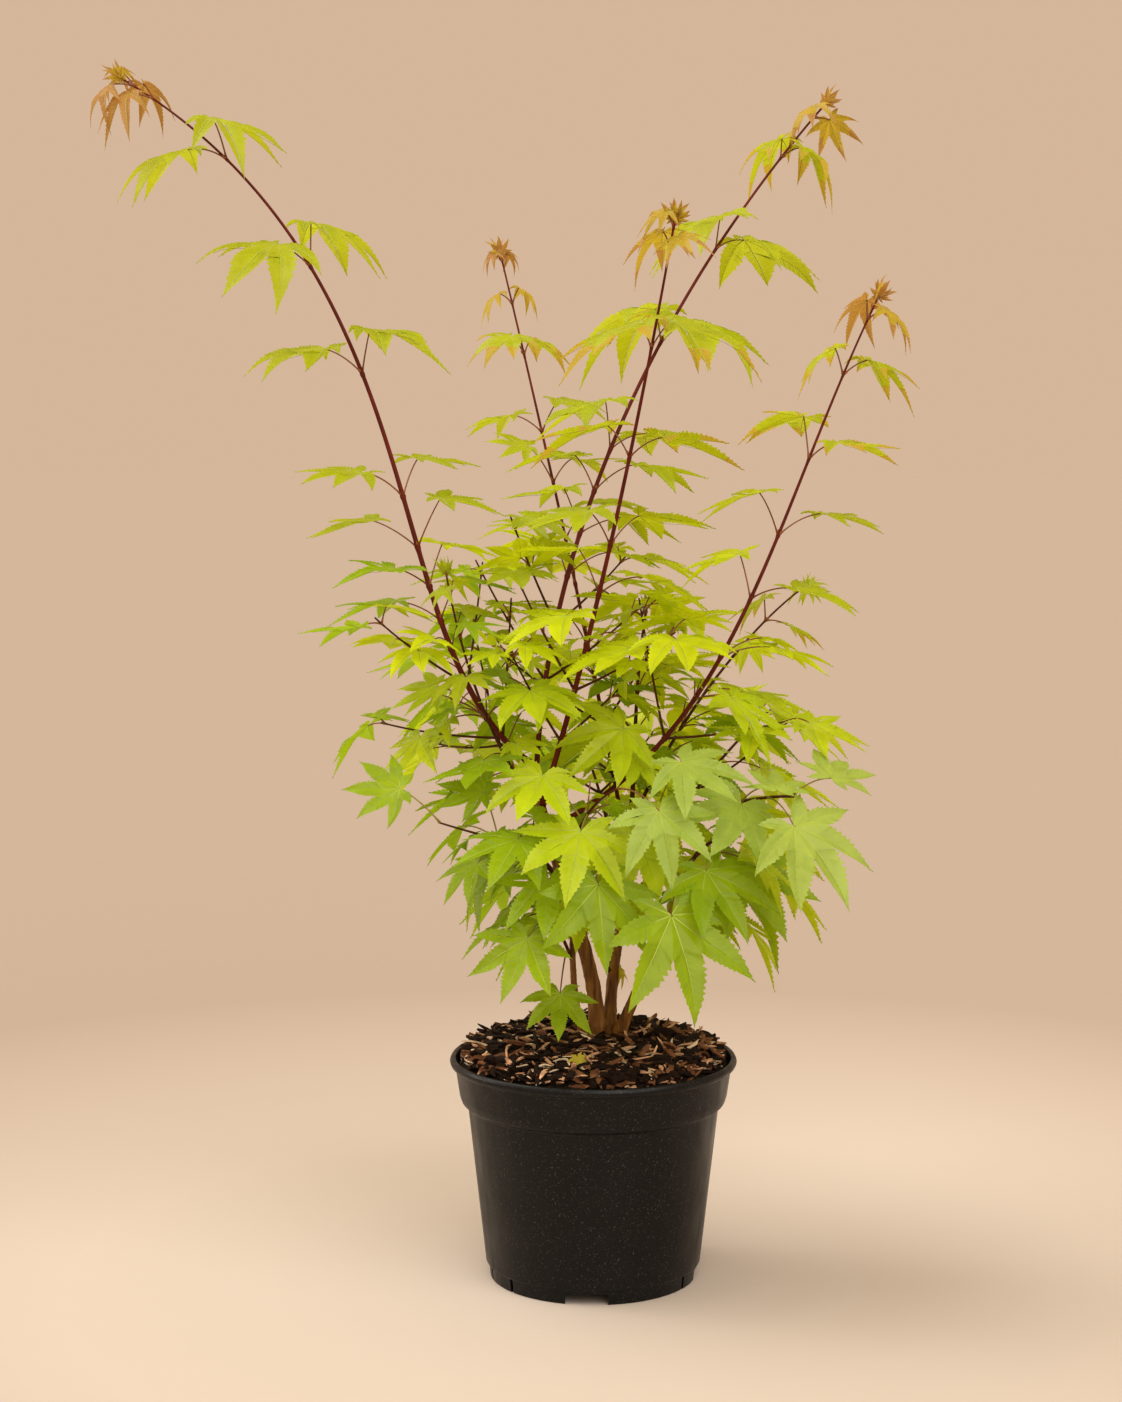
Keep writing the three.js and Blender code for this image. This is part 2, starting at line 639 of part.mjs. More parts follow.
for (const mass of crown([pot, mulch, trunk, ...limbs])) {
  const whole = wasm.Manifold.union(mass.parts).subtract(wasm.Manifold.union(clearance));
  plant.add(mesh(mass.name, cleaned(largest(whole)), MATERIALS.foliage));
  clearance.push(stem(mass, 0, 1, SHOOT_SIDES, GAP));
}

export default plant;
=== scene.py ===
from collections import defaultdict
from math import asin, atan2, ceil, cos, degrees, dist, hypot, inf, pi, radians, sin, sqrt

import bpy
import numpy as np
from mathutils import Euler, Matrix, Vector, noise
from mathutils.bvhtree import BVHTree


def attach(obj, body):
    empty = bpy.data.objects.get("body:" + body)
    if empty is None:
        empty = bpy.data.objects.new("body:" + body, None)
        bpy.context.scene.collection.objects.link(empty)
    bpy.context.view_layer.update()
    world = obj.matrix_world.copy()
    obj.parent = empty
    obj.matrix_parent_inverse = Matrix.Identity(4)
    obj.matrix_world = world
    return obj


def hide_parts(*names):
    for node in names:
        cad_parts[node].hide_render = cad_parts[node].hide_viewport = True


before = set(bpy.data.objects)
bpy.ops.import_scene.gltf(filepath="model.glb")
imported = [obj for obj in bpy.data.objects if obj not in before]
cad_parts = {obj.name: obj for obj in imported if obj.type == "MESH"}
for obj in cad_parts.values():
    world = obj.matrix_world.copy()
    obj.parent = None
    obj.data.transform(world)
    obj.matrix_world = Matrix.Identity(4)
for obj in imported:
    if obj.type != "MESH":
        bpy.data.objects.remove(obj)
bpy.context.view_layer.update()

MM = 0.001

# ---- Plant dimensions, in millimetres ----
BOUGHS = {
    "bough_left": dict(
        path=[[1, -1, 155], [9, -4, 203], [-27, -9, 272], [-41, -14, 343]],
        radii=[5.2, 3.1], foot=0.17,
    ),
    "bough_centre": dict(
        path=[[11, 3, 155], [10, 8, 218], [24, 10, 240], [25, 18, 305]],
        radii=[4.3, 2.4], foot=0.2,
    ),
    "bough_right": dict(
        path=[[14, -3, 155], [24, -10, 184], [44, -24, 226], [57, -34, 267]],
        radii=[4.2, 2.3], foot=0.17,
    ),
    "bough_low_left": dict(
        path=[[-3, -4, 155], [-17, -8, 184], [-12, -16, 225], [-15, -22, 252]],
        radii=[2.6, 1.6], foot=0.16,
    ),
}
# Each mass grows from one shoot: its curve, radii, the distances of its leaf pairs and twigs, the
# compass turn of its first pair and of the next against it, and the lengths of leaf and stalk. Two
# values are for foot and head. Faces are leaves with a place of their own, as FACE_KEYS tells.
FACE_KEYS = ("at", "turn", "drop", "roll", "length", "share")
MASSES = {
    "shoot_left": dict(
        path=[[-41.5, -14, 344], [-142, -22, 421], [-93, -31, 656], [-292, -45, 775]],
        radii=[2.4, 0.7], twigs=[24, 66],
        pairs=[41, 91, 111, 134, 160, 194, 276, 350, 434, 492, 506],
        turn=182, cross=40, leaf=[50, 54], stalk=[36, 24],
    ),
    "shoot_centre": dict(
        path=[[-33, -14, 318], [3, -43, 439], [29, -75, 570], [48, -105, 682]],
        radii=[2.3, 0.8], pairs=[112, 146, 179, 237, 307, 370, 382], twigs=[44, 80],
        turn=215, cross=-60, leaf=[60, 64], stalk=[42, 16],
    ),
    "shoot_tall_right": dict(
        path=[[-37.5, -11.5, 328], [-34, 29, 493], [50, 69, 656], [155, 105, 777]],
        radii=[2.2, 0.8], pairs=[141, 171, 201, 231, 312, 386, 464, 500, 510], twigs=[70, 108],
        turn=160, cross=55, leaf=[56, 56], stalk=[40, 18],
    ),
    "shoot_right": dict(
        path=[[-28, -13, 301], [94, -26, 366], [112, -28, 500], [178, -30, 640]],
        radii=[2.2, 0.7], pairs=[66, 128, 160, 202, 246, 298, 355, 393, 400], twigs=[96],
        turn=190, cross=-45, leaf=[58, 52], stalk=[42, 22],
    ),
    "shoot_back_left": dict(
        path=[[22, 16, 284], [-3, 58, 420], [-32, 91, 545], [-64, 125, 677]],
        radii=[1.8, 0.7], pairs=[50, 118, 150, 182, 214, 254, 290, 346, 383, 414], twigs=[84],
        turn=170, cross=60, leaf=[56, 34], stalk=[38, 16],
    ),
    "shoot_right_low": dict(
        path=[[25, 17, 296], [44, 28, 353], [100, 48, 425], [140, 60, 453]],
        radii=[1.6, 0.7], pairs=[44, 76, 106, 136, 168, 200],
        turn=10, cross=60, leaf=[58, 50], stalk=[34, 18],
    ),
    "shoot_left_inner": dict(
        path=[[-37, -12, 316], [-66, -34, 356], [-84, -52, 416], [-92, -66, 468]],
        radii=[1.4, 0.7], pairs=[44, 72, 100, 130, 158],
        turn=250, cross=90, leaf=[54, 44], stalk=[34, 18],
    ),
    "leader": dict(
        path=[[25, 18, 306], [28, 26, 350], [27, 33, 395], [35, 40, 440]],
        radii=[2, 0.9], pairs=[24, 52, 80, 108, 132],
        turn=60, cross=90, leaf=[58, 50], stalk=[40, 24],
    ),
    "branch_right_low": dict(
        path=[[-18, -7, 262], [22, -34, 300], [84, -56, 330], [126, -70, 330]],
        radii=[2, 1], pairs=[64, 94, 126],
        turn=70, cross=90, leaf=[62, 54], stalk=[36, 24],
        faces=[
            ([123, -110, 317], -32, 40, 0, 66, 0.9),
            ([148, -80, 343], 70, -14, -14, 40, 0.99),
            ([54, -95, 355], -42, 26, 0, 54, 0.42),
            ([113, -100, 338], 88, -12, -8, 34, 0.8),
        ],
    ),
    "branch_left_low": dict(
        path=[[-15.4, -22.6, 253], [-28, -30, 292], [-62, -48, 298], [-98, -62, 312]],
        radii=[1.4, 0.7], pairs=[44, 72],
        turn=200, cross=90, leaf=[46, 38], stalk=[30, 24],
        faces=[
            ([-122, -66, 334], 178, 4, 26, 39, 0.99),
            ([-70, -52, 330], 160, -8, 20, 36, 0.62),
        ],
    ),
    "spray_front_left": dict(
        path=[[-14, -13, 214], [-22, -36, 240], [-32, -58, 262], [-42, -72, 282]],
        radii=[1.4, 0.8], pairs=[52],
        turn=170, cross=90, leaf=[46, 46], stalk=[30, 24],
        faces=[
            ([-41, -95, 244], -118, 48, 0, 50, 0.5),
            ([-21, -70, 204], -94, 50, 0, 38, 0.12),
            ([-28, -85, 280], -90, 36, 0, 52, 0.7),
            ([-47, -84, 305], -114, 24, 0, 52, 0.99),
        ],
    ),
    "spray_front": dict(
        path=[[-18.5, -9, 258], [-16, -50, 306], [0, -78, 330], [16, -90, 338]],
        radii=[1.6, 0.8], pairs=[56, 84],
        turn=190, cross=90, leaf=[60, 56], stalk=[36, 26],
        faces=[
            ([3, -106, 280], -80, 66, 14, 60, 0.55),
            ([-32, -76, 344], -112, 34, 0, 52, 0.62),
            ([40, -112, 327], -76, 48, -8, 53, 0.99),
        ],
    ),
    "spray_front_right": dict(
        path=[[57, -34, 268], [62, -50, 292], [76, -66, 306], [92, -78, 306]],
        radii=[2, 0.9], pairs=[30],
        turn=20, cross=90, leaf=[64, 60], stalk=[34, 26],
        faces=[
            ([48, -112, 262], -50, 60, 0, 74, 0.35),
            ([70, -88, 286], -46, 44, 0, 58, 0.8),
            ([98, -36, 284], -45, 58, 0, 62, 0.45),
        ],
    ),
    "spray_back_left": dict(
        path=[[-35, -10, 310], [-58, 36, 338], [-78, 78, 372], [-96, 116, 398]],
        radii=[1.8, 0.8], pairs=[46, 104, 132, 156], twigs=[74],
        turn=120, cross=90, leaf=[60, 50], stalk=[38, 22],
    ),
    "spray_back": dict(
        path=[[19, 9, 244], [12, 54, 290], [2, 96, 326], [-12, 132, 346]],
        radii=[1.8, 0.8], pairs=[46, 74, 130, 158], twigs=[100],
        turn=30, cross=90, leaf=[66, 56], stalk=[38, 22],
    ),
    "spray_back_right": dict(
        path=[[23, 11, 266], [66, 46, 316], [98, 84, 350], [124, 114, 366]],
        radii=[1.8, 0.8], pairs=[50, 108, 136, 166], twigs=[78],
        turn=100, cross=90, leaf=[64, 54], stalk=[38, 22],
    ),
    "spray_low_back": dict(
        path=[[11, 6, 204], [-6, 42, 246], [-28, 70, 266], [-56, 94, 276]],
        radii=[1.5, 0.8], pairs=[46, 72, 98, 126],
        turn=170, cross=90, leaf=[64, 56], stalk=[34, 22],
    ),
    "spray_right": dict(
        path=[[37, -18, 214], [62, 6, 250], [92, 24, 274], [122, 38, 286]],
        radii=[1.5, 0.8], pairs=[46, 72, 98, 124],
        turn=10, cross=90, leaf=[66, 58], stalk=[34, 22],
    ),
}
TWIG = dict(
    length=[84, 56], part=48, radii=[1, 0.65], pairs=[0.56, 0.98],
    turn=60, cross=80, leaf=[1, 0.9], stalk=[22, 14],
    lift=((0, 0), (0.35, 0), (0.7, 0.04), (1, 0.12)),
    wander=dict(turn=12, part=6, length=0.12),
)
TWIG_CLEAR = 0.12  # the share of a twig, from its foot, that needs no free space
# How a blade hangs by the height of its stem: its drop, its arch, and its stalk's angle.
HANG = dict(
    height=[220, 380, 520, 640], drop=[52, 16, 8, 12],
    droop=[0.12, 0.12, 0.16, 0.36], part=[62, 54, 44, 34],
)
YOUNG = dict(reach=90, size=0.5, drop=40, droop=0.46, stalk=0.5, height=400)

# Each lobe's angle and length, and the notch behind it, as shares of the leaf's length.
LOBES = [
    dict(angle=-128, length=0.4),
    dict(angle=-82, length=0.72, notch=(-61, 0.4)),
    dict(angle=-40, length=0.93, notch=(-20, 0.46)),
    dict(angle=0, length=1, notch=(20, 0.46)),
    dict(angle=40, length=0.93, notch=(61, 0.4)),
    dict(angle=82, length=0.72),
    dict(angle=128, length=0.4),
]
LEAF_THICK = 0.018  # of its length, at the middle
STALK_RADIUS = 0.62
ROOT, STEM_X = 0.25, 8  # a stalk's root from the middle of its stem, and the stems' middle
TRIES = 14  # how often a leaf looks for a clear place
# How far a leaf's place wanders, and how much wider and smaller each further try is.
WANDER = dict(side=14, part=7, stalk=0.12, turn=12, drop=6, roll=11, length=0.08)
WIDER, SMALLER = 0.3, 0.012
# The large leaves, and then small ones in their axils, up to a height and near the stems.
LEAF_RUNS = [
    dict(size=1, stalk=1, turn=0, height=inf, reach=inf),
    dict(size=0.62, stalk=0.8, turn=42, height=450, reach=90),
    dict(size=0.5, stalk=0.55, turn=-48, height=400, reach=70),
]
TWIG_SEEDS, RUN_SEEDS, MASS_SEEDS = 100, 200, 8  # where each kind's rows of seeds start
LEAF_SEED, CHIP_SEED = 7, 40
ABOUT_A_TURN = 6.28  # radians
GUARD, GUARD_START = 0.4, 4  # free space round a leaf, which starts this far from its stem
SHOOT_SIDES, TWIG_SIDES, STEM_STEP = 4, 3, 34

# The mulch's height by its distance from the pot's axis.
MULCH_HEAP = [[0, 156], [26, 156], [44, 154.5], [62, 151.5], [78, 148], [87, 144]]


# ---- Small tools ----
def mix(pair, share):
    return pair[0] + (pair[1] - pair[0]) * share


def rise(value, zone):
    """From 0 at and below a zone's start to 1 at and above its end."""
    return min(1, max(0, (value - zone[0]) / (zone[1] - zone[0])))


def unit(vector):
    return vector / np.linalg.norm(vector)


def draws(*seeds):
    """A repeatable row of numbers from 0 to 1, as in the part's source."""
    state = 1
    for seed in seeds:
        state = (state * 1664525 + seed * 7919 + 1013904223) % 4294967296

    def following():
        nonlocal state
        state = (state * 1664525 + 1013904223) % 4294967296
        return state / 4294967296

    following()
    following()
    return following


class Curve:
    """A cubic curve, read by share of its length."""

    STEPS = 200

    def __init__(self, path):
        self.path = np.array(path, float)
        points = self.at(np.linspace(0, 1, self.STEPS + 1))
        self.reached = np.r_[0, np.cumsum(np.linalg.norm(np.diff(points, axis=0), axis=1))]
        self.whole = self.reached[-1]

    def at(self, t):
        t = np.asarray(t, float)[..., None]
        a, b, c, d = self.path
        return a * (1 - t) ** 3 + 3 * b * (1 - t) ** 2 * t + 3 * c * (1 - t) * t**2 + d * t**3

    def moment(self, share):
        """The curve's own parameter at a share of its length."""
        moments = np.linspace(0, 1, self.STEPS + 1)
        return np.interp(np.asarray(share) * self.whole, self.reached, moments)

    def point(self, share):
        return self.at(self.moment(share))

    def tangent(self, share):
        t, near = self.moment(share), 0.0001
        return unit(self.at(min(1, t + near)) - self.at(max(0, t - near)))


class Heap:
    """The points and triangles of one joined piece."""

    def __init__(self):
        self.points, self.faces, self.count = [], [], 0

    def add(self, points, faces):
        self.points.append(np.asarray(points, float))
        self.faces.append(np.asarray(faces, int) + self.count)
        self.count += len(points)

    def mesh(self, name, smooth=True):
        made = bpy.data.meshes.new(name)
        made.from_pydata(np.vstack(self.points) * MM, [], np.vstack(self.faces))
        made.polygons.foreach_set("use_smooth", [smooth] * len(made.polygons))
        made.update()
        return made


def rotated(points, roll, pitch, spin):
    """Points turned about X, then about Y, then about Z, in radians."""
    return points @ np.array(Euler((roll, pitch, spin)).to_matrix()).T


def banded(rings, sides, first=0):
    """The triangles between rings of points that follow one another."""
    k = np.arange(sides)
    after, faces = (k + 1) % sides, []
    for low in range(first, first + (rings - 1) * sides, sides):
        high = low + sides
        faces += [np.c_[low + k, low + after, high + after], np.c_[low + k, high + after, high + k]]
    return faces


def added(name, data):
    """An object of the scene around its data."""
    piece = bpy.data.objects.new(name, data)
    bpy.context.scene.collection.objects.link(piece)
    return piece


def evaluated(piece):
    """The smooth mesh of a piece with its modifiers applied. The piece itself is removed."""
    seen = piece.evaluated_get(bpy.context.evaluated_depsgraph_get())
    mesh = bpy.data.meshes.new_from_object(seen)
    mesh.polygons.foreach_set("use_smooth", [True] * len(mesh.polygons))
    bpy.data.objects.remove(piece)
    return mesh


def show(name, mesh, material, replaced=()):
    """Adds a finished piece that rides on the plant's one body."""
    piece = added(name, mesh)
    mesh.materials.append(material)
    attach(piece, "root")
    if replaced:
        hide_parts(*replaced)


# ---- Growth rule, as in the part's source ----
def pipe(points, radii, sides):
    """A closed tapering tube through the points."""
    points = np.asarray(points, float)
    rings, side, last = [], np.array([0.0, 1.0, 0.0]), len(points) - 1
    for i, point in enumerate(points):
        along = unit(points[min(i + 1, last)] - points[max(i - 1, 0)])
        side = unit(side - along * side.dot(along))
        other = np.cross(along, side)
        turns = np.arange(sides) * 2 * pi / sides
        round_it = np.outer(np.cos(turns), side) + np.outer(np.sin(turns), other)
        rings.append(point + radii[i] * round_it)
    k = np.arange(sides)
    after = (k + 1) % sides
    band = np.vstack([np.c_[k, after, k + sides], np.c_[after, after + sides, k + sides]])
    faces = [band + i * sides for i in range(last)]
    fan = np.arange(1, sides - 1)
    faces.append(np.c_[0 * fan, fan + 1, fan])
    faces.append(np.c_[0 * fan, fan, fan + 1] + last * sides)
    return np.vstack(rings), np.vstack(faces)


def stem(axis, start, sides, extra=0.0):
    """An axis from a share of its length to its end, as a tube that extra widens."""
    curve = axis["curve"]
    rings = max(1, ceil(curve.whole * (1 - start) / STEM_STEP)) + 2
    shares = np.linspace(start, 1, rings)
    points = curve.point(shares)
    points[0] -= extra * curve.tangent(start)
    points[-1] += extra * curve.tangent(1)
    return pipe(points, mix(axis["radii"], shares) + extra, sides)


def heading(turn, climb):
    """The way towards a compass turn, climbing by an angle."""
    t, c = radians(turn), radians(climb)
    return np.array([cos(t) * cos(c), sin(t) * cos(c), sin(c)])


def off_stem(tangent, turn, part):
    """The way off a stem towards a compass turn, at an angle to the stem."""
    out = heading(turn, 0)
    out = unit(out - tangent * out.dot(tangent))
    return tangent * cos(radians(part)) + out * sin(radians(part))


def leaf_place(start, base, turn, drop, roll, length, droop, age=1.0, faces=False):
    """A leaf: its stalk's start, its blade's base and axes, its length, arch and age."""
    forward = heading(turn, -drop)
    flat = unit(np.array([0, 0, 1.0]) - forward * forward[2])
    side = np.cross(flat, forward)
    normal = flat * cos(radians(roll)) + side * sin(radians(roll))
    across = np.cross(normal, forward)
    return dict(
        start=start, base=np.asarray(base, float), forward=forward, normal=normal,
        across=across, length=length, droop=droop, age=age, faces=faces,
    )


def leaf_solid(leaf, guard=0.0):
    """The source's plain closed leaf, which keeps its place clear."""
    size = leaf["length"] + guard

    def at(reach, angle, lift=0.0):
        a = radians(angle)
        flat = leaf["forward"] * reach * cos(a) + leaf["across"] * reach * sin(a)
        return leaf["base"] + flat + leaf["normal"] * lift

    def edge(reach, angle):
        return at(size * reach, angle, -size * leaf["droop"] * reach * reach)

    rim = []
    for lobe in LOBES:
        rim.append(edge(lobe["length"], lobe["angle"]))
        if "notch" in lobe:
            rim.append(edge(lobe["notch"][1], lobe["notch"][0]))
    half = LEAF_THICK * leaf["length"] / 2 + guard
    width = STALK_RADIUS + guard
    neck = [at(0, 0, half), at(2 * width, 140), at(2 * width, -140)]
    along = unit(leaf["base"] - leaf["start"])
    root = leaf["start"] + along * (GUARD_START if guard else ROOT)
    up = unit(leaf["normal"] - along * leaf["normal"].dot(along))
    beside = np.cross(along, up)
    foot = [
        root + width * (up * sin(radians(turn)) + beside * cos(radians(turn)))
        for turn in (90, 210, 330)
    ]
    last = len(rim) - 1
    top, left, right, under = (last + i for i in (1, 2, 3, 7))
    faces = []
    for i in range(last):
        faces += [(top, i, i + 1), (under, i + 1, i)]
    faces += [(top, last, left), (under, left, last), (top, right, 0)]
    faces += [(under, 0, right), (under, right, left)]
    for k in range(3):
        a, b = top + k, top + (k + 1) % 3
        faces += [(a, b, b + 3), (a, b + 3, a + 3)]
    faces.append((top + 3, top + 4, top + 5))
    return np.array([*rim, *neck, *foot, at(0, 0, -half)]), np.array(faces)


def hang_at(height):
    """How a blade hangs at a height."""
    return {key: np.interp(height, HANG["height"], row) for key, row in HANG.items()}


def leaf_tries(axis, seed, distance, turn):
    """The places that one leaf tries in turn."""
    curve = axis["curve"]
    share = distance / curve.whole
    start, tangent = curve.point(share), curve.tangent(share)
    hang = hang_at(start[2])
    age = min(1, (curve.whole - distance) / YOUNG["reach"]) if axis["young"] else 1
    for attempt in range(TRIES):
        draw = draws(seed, attempt)
        wander = 1 + attempt * WIDER

        def spread(key):
            return WANDER[key] * wander * (2 * draw() - 1)

        side = turn + spread("side")
        way = off_stem(tangent, side, hang["part"] + spread("part"))
        stalk = mix(axis["stalk"], share) * mix((YOUNG["stalk"], 1), age) * (1 + spread("stalk"))
        blade = dict(
            turn=side + spread("turn"),
            drop=mix((YOUNG["drop"], hang["drop"]), age) + spread("drop"),
            roll=spread("roll"),
            length=mix(axis["leaf"], share)
            * mix((YOUNG["size"], 1), age)
            * (1 - attempt * SMALLER + spread("length")),
            droop=mix((YOUNG["droop"], hang["droop"]), age),
        )
        yield leaf_place(start, start + way * stalk, **blade, age=age)


def with_curve(axis):
    """The axis with its curve, and no leaf pair past the curve's end."""
    curve = Curve(axis["path"])
    pairs = [min(distance, curve.whole - 1) for distance in axis["pairs"]]
    return {**axis, "curve": curve, "pairs": pairs}


def twig_axis(mass, seed, distance, turn):
    """A side twig: nearly straight, with a lifted tip and two pairs of leaves."""
    share = distance / mass["curve"].whole
    draw = draws(seed, TRIES)

    def spread(key):
        return TWIG["wander"][key] * (2 * draw() - 1)

    start, tangent = mass["curve"].point(share), mass["curve"].tangent(share)
    way = off_stem(tangent, turn + spread("turn"), TWIG["part"] + spread("part"))
    length = mix(TWIG["length"], share) * (1 + spread("length"))
    return dict(
        path=[start + way * length * out + [0, 0, length * lift] for out, lift in TWIG["lift"]],
        radii=TWIG["radii"], pairs=[part * length for part in TWIG["pairs"]],
        turn=turn + TWIG["turn"], cross=TWIG["cross"],
        leaf=[size * mix(mass["leaf"], share) for size in TWIG["leaf"]],
        stalk=TWIG["stalk"], young=False,
    )


def each_side(axis, distances, row):
    """Both sides of every node of an axis, each with its seed and compass turn."""
    for node, distance in enumerate(distances):
        for side in (0, 1):
            turn = axis["turn"] + axis["cross"] * (node % 2) + 180 * side
            yield 64 * row + 2 * node + side, distance, turn


def tree_of(points, faces):
    """A solid's faces as a tree that tells which others it touches."""
    return BVHTree.FromPolygons(points.tolist(), faces.tolist())


def solid_of(node):
    """A CAD node's points in millimetres and its triangles."""
    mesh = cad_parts[node].data
    mesh.calc_loop_triangles()
    points = np.array([vertex.co for vertex in mesh.vertices]) / MM
    return points, np.array([triangle.vertices for triangle in mesh.loop_triangles])


def crown():
    """Grows every mass. Leaves and twigs keep clear of all that stands."""
    standing = [tree_of(*solid_of(node)) for node in ("pot", "mulch", "trunk", *BOUGHS)]
    masses = []
    for name, mass in MASSES.items():
        young = mass["path"][3][2] > YOUNG["height"]
        masses.append({**with_curve(mass), "name": name, "young": young, "leaves": []})
        masses[-1]["axes"] = [masses[-1]]
        standing.append(tree_of(*stem(masses[-1], 0, SHOOT_SIDES)))

    def is_clear(solid):
        tree = tree_of(*solid)
        return not any(tree.overlap(other) for other in standing)

    def add_leaf(mass, tries):
        for leaf in tries:
            if is_clear(leaf_solid(leaf, GUARD)):
                standing.append(tree_of(*leaf_solid(leaf)))
                mass["leaves"].append(leaf)
                return

    for mass in masses:
        for row in mass.get("faces", ()):
            face = dict(zip(FACE_KEYS, row))
            start, base = mass["curve"].point(face.pop("share")), face.pop("at")
            leaf = leaf_place(start, base, **face, droop=HANG["droop"][0], faces=True)
            add_leaf(mass, [leaf])
    for row, mass in enumerate(masses):
        for seed, distance, turn in each_side(mass, mass.get("twigs", ()), TWIG_SEEDS + row):
            twig = with_curve(twig_axis(mass, seed, distance, turn))
            if is_clear(stem(twig, TWIG_CLEAR, TWIG_SIDES, GUARD)):
                standing.append(tree_of(*stem(twig, 0, TWIG_SIDES)))
                mass["axes"].append(twig)
    for number, run in enumerate(LEAF_RUNS):
        for row, mass in enumerate(masses):
            for place, axis in enumerate(mass["axes"]):
                sized = {
                    **axis, "young": axis["young"] and number == 0,
                    "leaf": [size * run["size"] for size in axis["leaf"]],
                    "stalk": [reach * run["stalk"] for reach in axis["stalk"]],
                }
                seeds = RUN_SEEDS * number + MASS_SEEDS * row + place
                for seed, distance, turn in each_side(axis, axis["pairs"], seeds):
                    x, y, z = axis["curve"].point(distance / axis["curve"].whole)
                    if z < run["height"] and hypot(x - STEM_X, y) < run["reach"]:
                        add_leaf(mass, leaf_tries(sized, seed, distance, turn + run["turn"]))
    return masses


# ---- Finished leaves ----
# The notches between the lobes, and at both ends the blade's base: angle and reach.
NOTCHES = [
    (-152, 0.15), (-105, 0.22), (-61, 0.34), (-20, 0.4),
    (20, 0.4), (61, 0.34), (105, 0.22), (152, 0.15),
]
TEETH, FEWEST_TEETH = 12, 4  # along each side of the longest lobe and of a short one
INNER_ROWS = 4  # from the leaf's middle to the notch
COLUMNS = np.array([0, 0.5, 1])  # from a lobe's midrib to its edge
FOLD_SHAPE, PLEAT_SHAPE = 1.4 * COLUMNS - 0.4 * COLUMNS**2, np.array([0, 1, 0.5])
SWELL, POINT = 1.3, 0.62  # how full a lobe is past its notch, and how far its tip is drawn in
TOOTH = (0.92, 1.13)  # the edge's width in a dent and on a tooth
TOOTH_LEAN = 0.8  # where a tooth's point lies between its two dents
UNEVEN_STEP, UNEVEN_DEPTH = 0.4, 0.14  # how much the teeth differ in place and in depth
TOOTHLESS, FULL_FROM = 0.1, 0.25  # where along the edge the teeth and the full width start
YOUNG_WIDTH = 0.55  # how narrow the lobes of the youngest leaves are
# How much larger grown leaves of the upper shoots are, how much wider, and how much smaller those
# of the middle. Then the heights over which both set in, and over which blades come level.
UPPER_SIZE, GROWN, UPPER_WIDTH, MIDDLE_SIZE = 0.14, 0.75, 0.22, 0.12
UPPER, MIDDLE, LEVEL = (544, 624), (342, 402), (300, 420)
FACE_ROLL = 0.55  # how far a face leaf turns its upper side to the front
TILT = 0.5  # how far the others turn it away from the stems
TURNED_SHARE, TURNED, TURNED_HEIGHT = 0.3, 0.6, 400  # some low ones turn it further
FOLD, FOLD_MORE, FOLD_YOUNG = 0.22, 0.2, 0.25  # a lobe's fold: least, at random, and when young
SOFT_LOW, DROOP_MORE = 0.25, 0.35  # the share of their arch that low leaves keep, and at random
UPRIGHT, WAVE = 0.15, 0.05  # how much a blade levels out and waves at random
# A lobe's turn and sweep in degrees, and how much shorter it is, trails, sags, pitches and twists.
LOBE = dict(turn=7, sweep=9, shorter=0.07, trail=0.06, sag=0.25, lift=0.05, pitch=0.4, twist=0.5)
NEXT_ROW = 0.36  # sine of the angle from a midrib to the notch
LAG, PLEAT = 0.75, 0.011  # how far a side vein starts behind its tooth, and its fold's depth
RIB, RIB_ROWS, RIB_REACH, RIB_TAPER = 0.006, 8, (0.02, 0.95), 0.8  # half width of a midrib's foot
RIB_LIFT = np.array([0.001, 0.005, 0.001])  # how far its edges and ridge stand off the blade


def half_lobe(reach, notch, bend, teeth, full, draw):
    """The edge of half a lobe, from the leaf's middle to its tip: how far along and out."""
    foot, width = notch * cos(bend), notch * sin(bend)
    inner = np.arange(INNER_ROWS) / INNER_ROWS
    shifts = [0, *(UNEVEN_STEP * (draw() - 0.5) for _ in range(teeth - 1))]
    dents = (np.arange(teeth) + shifts) / teeth
    points = dents + TOOTH_LEAN * np.diff([*dents, 1])
    t = np.column_stack([dents, points]).ravel()
    depth = np.tile(TOOTH, teeth) * np.array([1 + UNEVEN_DEPTH * (draw() - 0.5) for _ in t])
    depth[t < TOOTHLESS] = 1
    widen = mix((1, full), np.minimum(1, t / FULL_FROM))
    body = (1 - t) * (1 + SWELL * t) * (1 - POINT * t**3) * depth * widen
    along = np.r_[foot * inner, foot + (reach - foot) * t, reach]
    pleat = np.r_[np.zeros(INNER_ROWS), np.tile((-PLEAT, PLEAT), teeth), 0]
    return along, np.r_[width * inner, width * body, 0], foot, pleat


